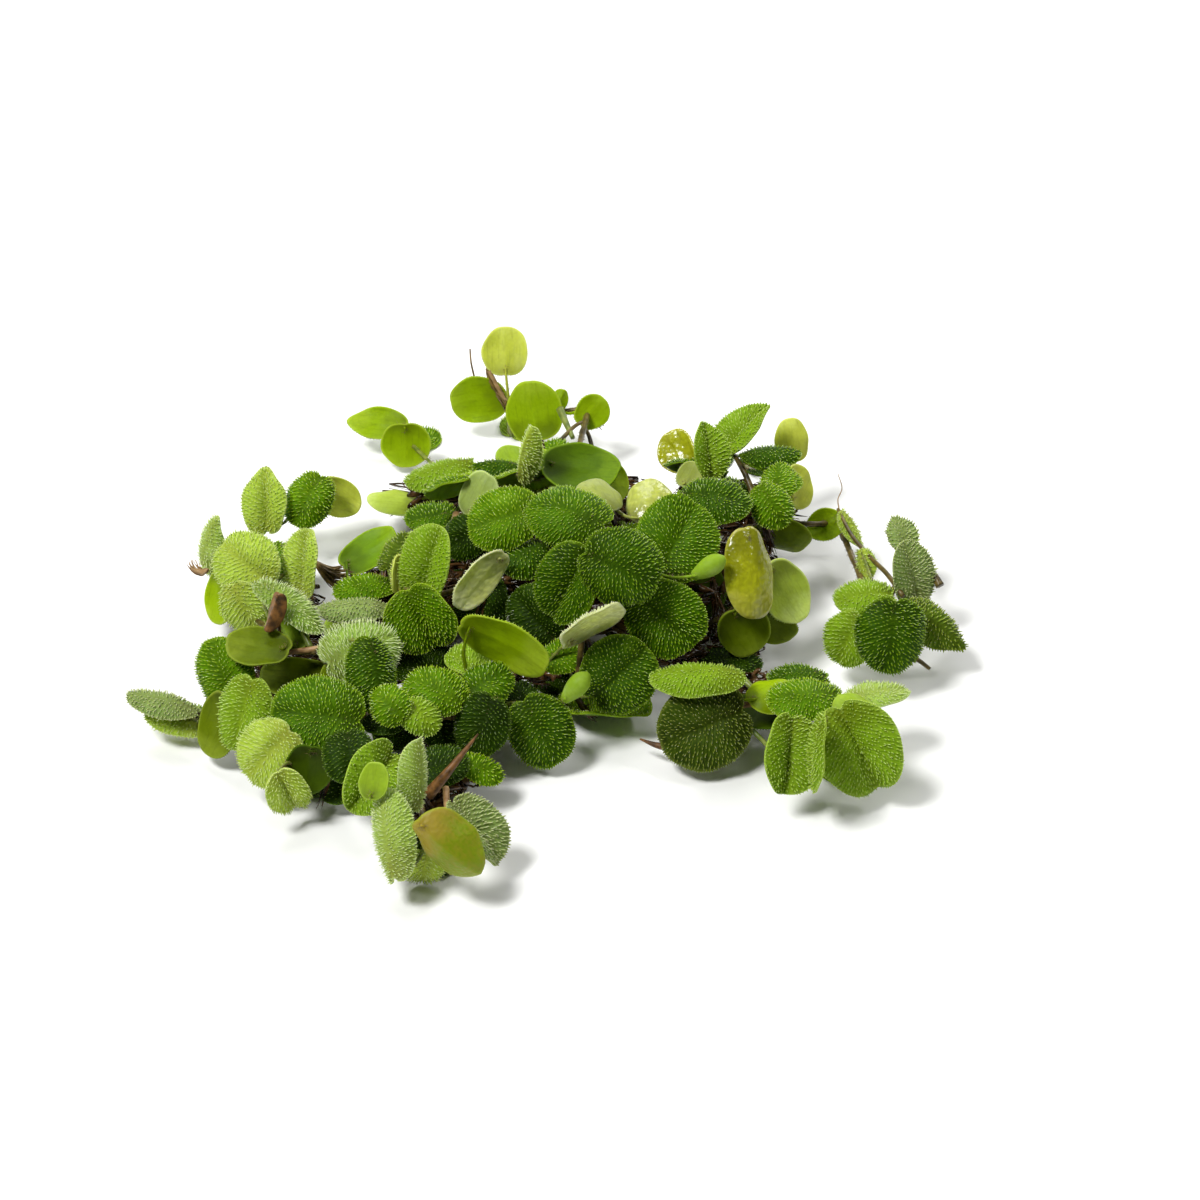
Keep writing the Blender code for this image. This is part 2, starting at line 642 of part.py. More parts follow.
def mesh_object(name, points, faces):
    """A mesh object in metres from points in millimetres."""
    mesh = bpy.data.meshes.new(name)
    mesh.from_pydata([point * MM for point in points], [], faces)
    mesh.update()
    made = bpy.data.objects.new(name, mesh)
    bpy.context.scene.collection.objects.link(made)
    return made


def tree_of(solid):
    """A search tree of a solid's faces."""
    return BVHTree.FromPolygons(*solid)


def sheets_tree(sprigs):
    """One search tree of every leaf's middle surface, and the leaf of each of its faces."""
    points, faces, owners = [], [], []
    for whorls in sprigs.values():
        for leaf in (leaf for whorl in whorls for leaf in whorl):
            sheet, triangles = leaf_sheet(leaf)
            side = leaf.tip.cross(leaf.face).normalized()
            start = len(points)
            points += [leaf.centre + side * p.x + leaf.tip * p.y + leaf.face * p.z for p in sheet]
            faces += [tuple(start + corner for corner in face) for face in triangles]
            owners += [leaf] * len(triangles)
    return BVHTree.FromPolygons(points, faces), owners


def pierced(tree, owners, start, end, own):
    """How many leaves other than own lie across the way from start to end."""
    way = end - start
    left, ahead, hits = way.length, way.normalized(), 0
    while left > SKIN:
        spot, _, face, distance = tree.ray_cast(start, ahead, left)
        if spot is None:
            break
        hits += owners[face] is not own
        start = spot + ahead * SKIN
        left -= distance + SKIN
    return hits


def hub_of(leaves, tree, owners):
    """The node of the rhizome that a whorl grows from, behind its leaf bases.

    Of a few places round the middle of the bases it takes one that a leaf hides and whose
    stalks pierce the fewest leaves, and of those the one with the shortest stalks.
    """
    growing = [leaf for leaf in leaves if not leaf.resting]
    ends = [(leaf, base_of(leaf, STALK_REACH)) for leaf in growing]
    middle = sum((end for _, end in ends), Vector()) / len(ends)
    best = None
    for depth in HUB_DEPTHS:
        for across in HUB_SHIFTS:
            for up in HUB_SHIFTS:
                hub = middle - TO_VIEWER * depth + SCREEN_RIGHT * across + SCREEN_UP * up
                hub.z = max(hub.z, NODE_RADIUS + CLEARANCE)
                hits = sum(pierced(tree, owners, hub, end, leaf) for leaf, end in ends)
                spot, _, _, gap = tree.find_nearest(hub)
                hits += gap < NODE_RADIUS
                if not pierced(tree, owners, hub, hub + (EYE - hub).normalized() * SIGHT, None):
                    hits += SHOWS_COST
                stalks = sum((end - hub).length for _, end in ends)
                if best is None or (hits, stalks) < best[0]:
                    best = ((hits, stalks), hub)
    return best[1]


def arc(start, end, sag, count):
    """Points from start to end along a shallow arc that hangs by sag, never below ground."""
    path = []
    for step in range(count):
        share = step / (count - 1)
        point = start.lerp(end, share)
        point.z = max(point.z - 4 * sag * share * (1 - share), RHIZOME_RADIUS + CLEARANCE)
        path.append(point)
    return path


def root_path(hub, tree, owners):
    """The brown root-like leaf of one node, drooping to the ground where it meets least."""
    best = None
    for number in range(ROOT_TURNS):
        turn = 2 * math.pi * number / ROOT_TURNS
        across = Vector((math.cos(turn), math.sin(turn), 0.0)) * ROOT_REACH
        end = hub + across - Vector((0, 0, min(ROOT_DROP, hub.z - 1.0)))
        path = arc(hub, end, 1.5, 3)
        hits = sum(pierced(tree, owners, *span, None) for span in zip(path, path[1:]))
        if best is None or hits < best[0]:
            best = (hits, path)
    return best[1]


def stem_solids(whorls, hubs, runner, roots, grow=0.0):
    """The sprig's nodes, rhizome, leaf stalks and roots, each a closed solid."""
    solids = [ball(hub, NODE_RADIUS + grow) for hub in hubs]
    if runner:
        ends = [from_view(*end) for end in runner]
        start = min(hubs, key=lambda hub: (hub - ends[0]).length)
        path = [start, *ends]
        solids.append(tube(path, [RHIZOME_RADIUS + grow] * len(path), sides=4))
    for near, far in zip(hubs, hubs[1:]):
        solids.append(tube(arc(near, far, 1.0, 4), [RHIZOME_RADIUS + grow] * 4, sides=4))
    for number, (hub, whorl) in enumerate(zip(hubs, whorls)):
        for leaf in whorl:
            path = [hub, base_of(leaf, STALK_REACH)]
            solids.append(tube(path, [STALK_RADIUS + grow, STALK_TIP_RADIUS + grow]))
        thinning = (1.0, 0.75, 0.45)
        solids.append(tube(roots[number], [ROOT_RADIUS * share + grow for share in thinning]))
    return solids


def combine(target, operation, others):
    """Joins the others to the target, or cuts them from it, and removes them."""
    if not others:
        return
    group = bpy.data.collections.new(target.name + "_" + operation.lower())
    for other in others:
        group.objects.link(other)
    modifier = target.modifiers.new(operation.capitalize(), "BOOLEAN")
    modifier.operation = operation
    modifier.operand_type = "COLLECTION"
    modifier.collection = group
    bpy.context.view_layer.update()
    graph = bpy.context.evaluated_depsgraph_get()
    made = bpy.data.meshes.new_from_object(target.evaluated_get(graph))
    target.modifiers.clear()
    target.data = made
    for other in others:
        bpy.data.objects.remove(other)
    bpy.data.collections.remove(group)


def islands(mesh):
    """The separate bodies of a bmesh, each as a list of its vertices, largest first."""
    left, found = set(mesh.verts), []
    while left:
        body, edge = set(), [left.pop()]
        while edge:
            vertex = edge.pop()
            body.add(vertex)
            for link in vertex.link_edges:
                other = link.other_vert(vertex)
                if other in left:
                    left.remove(other)
                    edge.append(other)
        found.append(list(body))
    return sorted(found, key=len, reverse=True)


def tidy(target, origin):
    """Merges stray points, keeps the main body, and moves the object's origin to its node."""
    mesh = bmesh.new()
    mesh.from_mesh(target.data)
    bmesh.ops.remove_doubles(mesh, verts=mesh.verts, dist=MERGE_DISTANCE)
    bmesh.ops.dissolve_degenerate(mesh, edges=mesh.edges, dist=MERGE_DISTANCE)
    bmesh.ops.dissolve_limit(
        mesh, angle_limit=math.radians(FLAT_ANGLE), verts=mesh.verts, edges=mesh.edges
    )
    bmesh.ops.triangulate(mesh, faces=mesh.faces)
    for body in islands(mesh)[1:]:
        bmesh.ops.delete(mesh, geom=body, context="VERTS")
    bmesh.ops.recalc_face_normals(mesh, faces=mesh.faces)
    bmesh.ops.translate(mesh, verts=mesh.verts, vec=-origin * MM)
    mesh.to_mesh(target.data)
    mesh.free()
    target.location = origin * MM
    target.data.shade_smooth()
    target.data.set_sharp_from_angle(angle=math.radians(SMOOTH_ANGLE))


def plant_material(name, colour):
    """Wet leaf green of one sprig."""
    material = bpy.data.materials.new(name)
    material.use_nodes = True
    shader = material.node_tree.nodes["Principled BSDF"]
    shader.inputs["Base Color"].default_value = (*colour, 1.0)
    shader.inputs["Roughness"].default_value = LEAF_ROUGHNESS
    shader.inputs["Metallic"].default_value = 0.0
    return material


def build_sprig(name, whorls, stems, foreign):
    """One sprig as one closed body, clear of the stems of every other sprig.

    stems are the sprig's own stem solids. foreign lists the other sprigs' stem solids, grown by
    the clearance, and whether they go before this sprig's stems.
    """
    leaves = []
    for leaf in (leaf for whorl in whorls for leaf in whorl):
        solid = leaf_body(leaf)
        tree = tree_of(solid)
        made = mesh_object(leaf.name, *solid)
        cutters = [grown for grown, _ in foreign if tree.overlap(tree_of(grown))]
        combine(made, "DIFFERENCE", [mesh_object("cutter", *grown) for grown in cutters])
        leaves.append(made)
    body = mesh_object(name, *stems[0])
    combine(body, "UNION", [mesh_object("stem", *solid) for solid in stems[1:]])
    crossing = []
    for grown, first in foreign:
        tree = tree_of(grown)
        if first and any(tree.overlap(tree_of(solid)) for solid in stems):
            crossing.append(mesh_object("cutter", *grown))
    combine(body, "DIFFERENCE", crossing)
    combine(body, "UNION", leaves)
    return body


def main():
    """Builds every sprig of the clump."""
    for old in list(bpy.data.objects):
        bpy.data.objects.remove(old)
    keyed = {}
    for name, whorls in SPRIGS.items():
        for number, whorl in enumerate(whorls):
            for leaf in whorl:
                keyed[(name, number, leaf.name)] = leaf
    settled = settle(keyed)
    sprigs, hubs, stems, grown = {}, {}, {}, {}
    for name, whorls in SPRIGS.items():
        sprigs[name] = [
            [settled[(name, number, leaf.name)] for leaf in whorl]
            for number, whorl in enumerate(whorls)
        ]
    tree, owners = sheets_tree(sprigs)
    for name, whorls in sprigs.items():
        hubs[name] = [hub_of(whorl, tree, owners) for whorl in whorls]
        runner = RUNNERS.get(name, [])
        roots = [root_path(hub, tree, owners) for hub in hubs[name]]
        stems[name] = stem_solids(whorls, hubs[name], runner, roots)
        grown[name] = stem_solids(whorls, hubs[name], runner, roots, grow=CLEARANCE)
    names = list(SPRIGS)
    for place, name in enumerate(names):
        foreign = [
            (solid, names.index(other) < place)
            for other in names
            if other != name
            for solid in grown[other]
        ]
        body = build_sprig(name, sprigs[name], stems[name], foreign)
        tidy(body, hubs[name][0])
        shade = place / len(names)
        green = (0.10 + 0.10 * shade, 0.26 + 0.10 * shade, 0.02 + 0.02 * shade)
        body.data.materials.clear()
        body.data.materials.append(plant_material(name + "_green", green))


main()
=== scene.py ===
"""Salvinia, a floating water fern: the dressed clump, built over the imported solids.

Every sprig is rebuilt as thin leaves with wavy rims, rows of pale papillae on their upper
faces, smooth undersides, hairy stalks and rhizomes, and wet brown root-like leaves. The table of
leaves repeats the one that the solids are made from, so each leaf lies where its solid is.
Lengths are in millimetres until a mesh is made. +X is right, +Y away from the viewer, +Z up.
"""

import logging
import math
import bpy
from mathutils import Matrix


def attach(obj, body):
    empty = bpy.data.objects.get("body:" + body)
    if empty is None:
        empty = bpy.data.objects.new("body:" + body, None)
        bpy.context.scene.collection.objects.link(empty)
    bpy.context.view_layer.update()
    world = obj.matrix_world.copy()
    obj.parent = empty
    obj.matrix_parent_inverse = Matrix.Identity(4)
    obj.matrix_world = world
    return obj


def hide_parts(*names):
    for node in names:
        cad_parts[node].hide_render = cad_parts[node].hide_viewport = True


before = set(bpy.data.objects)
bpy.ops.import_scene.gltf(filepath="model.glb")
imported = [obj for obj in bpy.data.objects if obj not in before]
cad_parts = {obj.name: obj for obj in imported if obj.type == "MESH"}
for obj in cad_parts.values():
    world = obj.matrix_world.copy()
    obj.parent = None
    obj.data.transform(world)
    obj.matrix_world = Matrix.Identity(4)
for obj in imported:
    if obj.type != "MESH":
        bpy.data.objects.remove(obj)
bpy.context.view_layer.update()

import zlib
from collections.abc import Sequence
from dataclasses import dataclass, field, replace
from enum import Enum
from typing import NamedTuple

import bpy
import numpy as np
from bpy.types import ID, Material, Node, NodeSocket, Object
from mathutils import Vector
from mathutils.bvhtree import BVHTree

LOG = logging.getLogger("salvinia")

Pair = tuple[float, float]
Triple = tuple[float, float, float]
Paint = tuple[float, float, float, float]

# Dimensions shared with the solids, in millimetres and degrees
MM = 0.001
SOLID_THICKNESS = 0.7
LEAF_ROWS = 3
BASE_NOTCH = 0.22
CLEARANCE = 0.3
STALK_REACH = 2.2
RHIZOME_RADIUS = 0.62
NODE_RADIUS = 1.1
ROOT_REACH = 5.0
ROOT_DROP = 12.0
ROOT_TURNS = 8
SHOWS_COST = 2
SKIN = 0.01
HUB_DEPTHS = (1.6, 3.2, 4.8, 6.4, 8.4)
HUB_SHIFTS = (-2.8, 0.0, 2.8)
SLIDE_STEP = 0.4
SLIDE_LIMIT = 20.0
SIGHT = 60.0
NEAR_SHARE = 0.8
ROOT_SAG = 1.5
NO_BEND = 1e-6

# How the photograph looks at the clump. Pixels are in its 1200 by 1200 frame.
IMAGE_WIDTH_PX = 1200.0
SENSOR_WIDTH = 36.0
VIEW_ELEVATION = 38.0
VIEW_DISTANCE = 600.0
PIXELS_PER_MM = 5.4
VIEW_CENTRE_PX = 600.0
VIEW_TARGET = Vector((8.9, 5.5, 5.0))

SIN_VIEW = math.sin(math.radians(VIEW_ELEVATION))
COS_VIEW = math.cos(math.radians(VIEW_ELEVATION))
SCREEN_RIGHT = Vector((1.0, 0.0, 0.0))
SCREEN_UP = Vector((0.0, SIN_VIEW, COS_VIEW))
TO_VIEWER = Vector((0.0, -COS_VIEW, SIN_VIEW))
EYE = VIEW_TARGET + TO_VIEWER * VIEW_DISTANCE
FOCAL_PX = PIXELS_PER_MM * VIEW_DISTANCE


def linear(colour: str) -> Paint:
    """Turns an sRGB hex colour into the linear values that a shader takes.

    Args:
        colour: six hex digits after a #.

    Returns:
        Red, green, blue and full alpha.
    """
    parts = [int(colour[place : place + 2], 16) / 255 for place in (1, 3, 5)]
    bent = [c / 12.92 if c <= 0.04045 else ((c + 0.055) / 1.055) ** 2.4 for c in parts]
    return (bent[0], bent[1], bent[2], 1.0)


def dice(*names: str) -> np.random.Generator:
    """A random source that is the same for the same names in every run."""
    return np.random.default_rng(zlib.crc32("/".join(names).encode()))


def turned(across: Vector | np.ndarray, other: Vector | np.ndarray, angle: float) -> object:
    """The direction at an angle from one direction towards another."""
    return across * math.cos(angle) + other * math.sin(angle)


def compass(angle: float) -> Vector:
    """The level direction at an angle in radians, 0 along +X and a right angle along +Y."""
    return Vector((math.cos(angle), math.sin(angle), 0.0))


def shown(name: str, data: ID) -> Object:
    """A new object in the scene."""
    made = bpy.data.objects.new(name, data)
    bpy.context.scene.collection.objects.link(made)
    return made


class Tone(Enum):
    """How a leaf's upper face, underside and rim are coloured: its own green, by how old it is, darkened as
    painted shade where it lies in shade and lightened as painted light where it faces away from the lamps.
    """

    # SHADE: a green darkened as painted shade, for leaves deep in the heap and on the ground under it
    SHADE = ("#263f03", "#3e5206", "#4e6a10")
    DUSK = ("#3e540a", "#4c600a", "#74802a")
    DEEP = ("#3a5e03", "#4f6c06", "#7c9c18")
    MOSS = ("#4a7303", "#5c8206", "#8aaa1e")
    MID = ("#5e8a04", "#6c900a", "#98b424")
    FRESH = ("#80a41c", "#8ca828", "#aac450")
    LIGHT = ("#acc644", "#a8bc44", "#ccdc84")
    SILVER = ("#a0bc50", "#a6ba60", "#ccdc94")
    FROST = ("#8cac44", "#98ac50", "#ccdc98")
    YELLOW = ("#b0c43c", "#bcc448", "#d0d870")
    LIME = ("#84ac08", "#8ca806", "#acc038")
    GOLD = ("#98a41c", "#a4a816", "#c4be58")
    TAWNY = ("#8c9a1c", "#76880a", "#8c9c24")
    PALE = ("#a8b85c", "#bac25c", "#d0d68c")
    # CREAM: lightened past a leaf's own colour as painted light, for undersides turned away from the lamps
    CREAM = ("#d4dc80", "#dce484", "#e8ecc0")
    OLIVE = ("#587414", "#5e7003", "#8c9c30")
    GREY = ("#88a054", "#97a24c", "#b4bc80")
    BUD = ("#90b030", "#8aaa2c", "#dce8a8")
    WITHERED = ("#a8743c", "#a0703a", "#b08c54")

    def __init__(self, upper: str, under: str, rim: str) -> None:
        """Names the three colours."""
        self.upper, self.under, self.rim = upper, under, rim


class Form(NamedTuple):
    """How a leaf bends, in degrees, seen with its upper face up.

    fold lifts both halves about the midrib, curl bends each half further out to its rim, and
    arch bends base and tip along the midrib. Negative values droop.
    """

    fold: float
    curl: float
    arch: float


FLAT = Form(0, 0, 0)
DISC = Form(7, -26, -12)
DOME = Form(2, -42, -26)
ROOF = Form(-22, -22, -14)
FOLD = Form(34, -22, -8)
VALLEY = Form(15, -16, -8)
CREST = Form(-44, -24, -16)
CUP = Form(4, 38, 22)
BUD = Form(40, 20, 0)


@dataclass
class Leaf:
    """One leaf: where its middle is, which way its upper face and its tip look, and its size."""

    name: str
    centre: Vector
    face: Vector
    tip: Vector
    length: float
    width: float
    form: Form
    tone: Tone
    under: bool = False
    resting: bool = False

    @property
    def side(self) -> Vector:
        """The direction across the leaf, to the right of its tip."""
        return self.tip.cross(self.face).normalized()

    def moved(self, step: float) -> "Leaf":
        """The same leaf, step millimetres nearer to the viewer."""
        away = (EYE - self.centre).normalized() * step
        return replace(self, centre=self.centre + away, resting=False)

    def bend(self, x: np.ndarray, y: np.ndarray) -> np.ndarray:
        """Carries points of the flat leaf onto its folded, curled and arched shape.

        Args:
            x: distances from the midrib.
            y: distances from the middle towards the tip.

        Returns:
            The bent points in the leaf's own axes, one row each.
        """
        fold, curl, arch = (math.radians(angle) for angle in self.form)
        turn = curl / (self.width / 2) if curl else NO_BEND
        reach = np.abs(x)
        across = (np.sin(fold + turn * reach) - math.sin(fold)) / turn
        rise = (math.cos(fold) - np.cos(fold + turn * reach)) / turn
        bow = arch / (self.length / 2) if arch else NO_BEND
        along = (1 / bow - rise) * np.sin(bow * y)
        height = 1 / bow - (1 / bow - rise) * np.cos(bow * y)
        return np.stack((np.copysign(across, x), along, height), axis=-1)

    def sheet(self) -> tuple[list[Vector], list[tuple[int, int, int]], Vector]:
        """The solid's middle surface: base, rows of rim, midrib and rim, and tip.

        Returns:
            Its points in the leaf's axes, its faces, and the offset that the points were moved by.
        """
        # The rim's points are evenly spread, base and tip lying three quarters of a step off
        rows = range(LEAF_ROWS)
        angles = [math.pi * ((row + 0.75) / (LEAF_ROWS + 0.5) - 0.5) for row in rows]
        half_length, half_width = self.length / 2, self.width / 2
        flat = [(0.0, -half_length * (1 - BASE_NOTCH))]
        for angle in angles:
            x, y = half_width * math.cos(angle), half_length * math.sin(angle)
            flat += [(-x, y), (0.0, y), (x, y)]
        flat[2] = (0.0, flat[0][1] * 0.5 + flat[5][1] * 0.5)
        flat.append((0.0, half_length))
        faces = [(0, 2, 1), (0, 3, 2)]
        for row in rows[:-1]:
            left, middle, right = 1 + 3 * row, 2 + 3 * row, 3 + 3 * row
            faces += [(left, middle, middle + 3), (left, middle + 3, left + 3)]
            faces += [(middle, right, right + 3), (middle, right + 3, middle + 3)]
        tip, last = len(flat) - 1, len(flat) - 4
        faces += [(last, last + 1, tip), (last + 1, last + 2, tip)]
        x, y = np.array(flat).T
        points = [Vector(point) for point in self.bend(x, y)]
        offset = sum(points, Vector()) / len(points)
        if self.resting:
            offset = Vector()
        return [point - offset for point in points], faces, offset

    def solid(self, grow: float = 0.0) -> tuple[list[Vector], list[tuple[int, int, int]]]:
        """The closed plain leaf in world place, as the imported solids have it."""
        sheet, faces, _ = self.sheet()
        normals = [Vector() for _ in sheet]
        for a, b, c in faces:
            normal = (sheet[b] - sheet[a]).cross(sheet[c] - sheet[a])
            for corner in (a, b, c):
                normals[corner] += normal
        half = SOLID_THICKNESS / 2 + grow
        swell = 1 + 2 * grow / self.width
        grown = [point * swell for point in sheet]
        lifts = [normal.normalized() * half for normal in normals]
        top = [self.world(point + lift) for point, lift in zip(grown, lifts)]
        low = [self.world(point - lift) for point, lift in zip(grown, lifts)]
        count = len(sheet)
        rim = [0, *range(3, count - 1, 3), count - 1, *range(count - 4, 0, -3)]
        closed = list(faces) + [(c + count, b + count, a + count) for a, b, c in faces]
        for here, there in zip(rim, rim[1:] + rim[:1]):
            closed.append((there, here, here + count))
            closed.append((there, here + count, there + count))
        return top + low, closed

    def world(self, point: Vector) -> Vector:
        """A point of the leaf's own axes in world place."""
        return self.centre + self.side * point.x + self.tip * point.y + self.face * point.z

    def base(self, inward: float) -> Vector:
        """The point inward millimetres up the midrib from the leaf's base."""
        sheet, _, _ = self.sheet()
        first, second = sheet[0], sheet[2]
        return self.world(first + (second - first).normalized() * inward)

    def lowest(self) -> float:
        """The height of the leaf's lowest point."""
        return min(point.z for point in self.solid()[0])


def from_view(px: float, py: float, high: float) -> Vector:
    """The point at a height above the ground that the photograph shows at a pixel."""
    ray = -TO_VIEWER * FOCAL_PX
    ray += SCREEN_RIGHT * (px - VIEW_CENTRE_PX) - SCREEN_UP * (py - VIEW_CENTRE_PX)
    return EYE + ray * ((high - EYE.z) / ray.z)


def seen(
    name: str,
    at: Pair,
    high: float,
    size: Pair,
    tip: float,
    tilt: float,
    lean: float,
    form: Form,
    tone: Tone,
    under: bool = False,
) -> Leaf:
    """A leaf placed as the photograph shows it.

    Args:
        name: what the leaf is called.
        at: its middle in pixels.
        high: the height of its middle.
        size: its length and width.
        tip: the way the tip points on the picture, 0 to the right and 90 up.
        tilt: how far the visible face turns away from the viewer.
        lean: which way it turns, 0 to the right and 90 up.
        form: how it bends.
        tone: its colours.
        under: whether the underside is what shows.

    Returns:
        The leaf in its first place, before it settles.
    """
    tilted, leaning, pointing = map(math.radians, (tilt, lean, tip))
    across = turned(SCREEN_RIGHT, SCREEN_UP, leaning)
    visible = turned(TO_VIEWER, across, tilted)
    run = turned(SCREEN_RIGHT, SCREEN_UP, pointing)
    run -= TO_VIEWER * (run.dot(visible) / visible.dot(TO_VIEWER))
    face = -visible if under else visible
    middle = from_view(*at, high)
    return Leaf(name, middle, face, run.normalized(), *size, form, tone, under)


def below(*place: object) -> Leaf:
    """A leaf whose underside is what the photograph shows, placed as seen() places one."""
    return seen(*place, under=True)


def placed(
    name: str,
    at_mm: Triple,
    size: Pair,
    tip: float,
    faces: Pair,
    form: Form,
    tone: Tone,
) -> Leaf:
    """A leaf on the side that the photograph does not show.

    Args:
        name: what the leaf is called.
        at_mm: its middle.
        size: its length and width.
        tip: the compass angle of its tip, 0 along +X and 90 along +Y.
        faces: the compass angle and the elevation of its upper face.
        form: how it bends.
        tone: its colours.

    Returns:
        The leaf in its first place, before it settles.
    """
    turn, rise, pointing = map(math.radians, (faces[0], faces[1], tip))
    face = compass(turn) * math.cos(rise)
    face.z = math.sin(rise)
    run = compass(pointing)
    run = (run - face * run.dot(face)).normalized()
    return Leaf(name, Vector(at_mm), face, run, *size, form, tone)


def resting(
    at: Pair, size: Pair, tip: float, tone: Tone, name: str = "ground"
) -> Leaf:
    """A flat leaf pressed on the ground, which the photograph shows at a pixel. Most are dark SHADE leaves
    laid in the gaps of the heap as painted shade.
    """
    centre, run = from_view(*at, SOLID_THICKNESS / 2), compass(math.radians(tip))
    return Leaf(name, centre, Vector((0, 0, 1)), run, *size, FLAT, tone, resting=True)
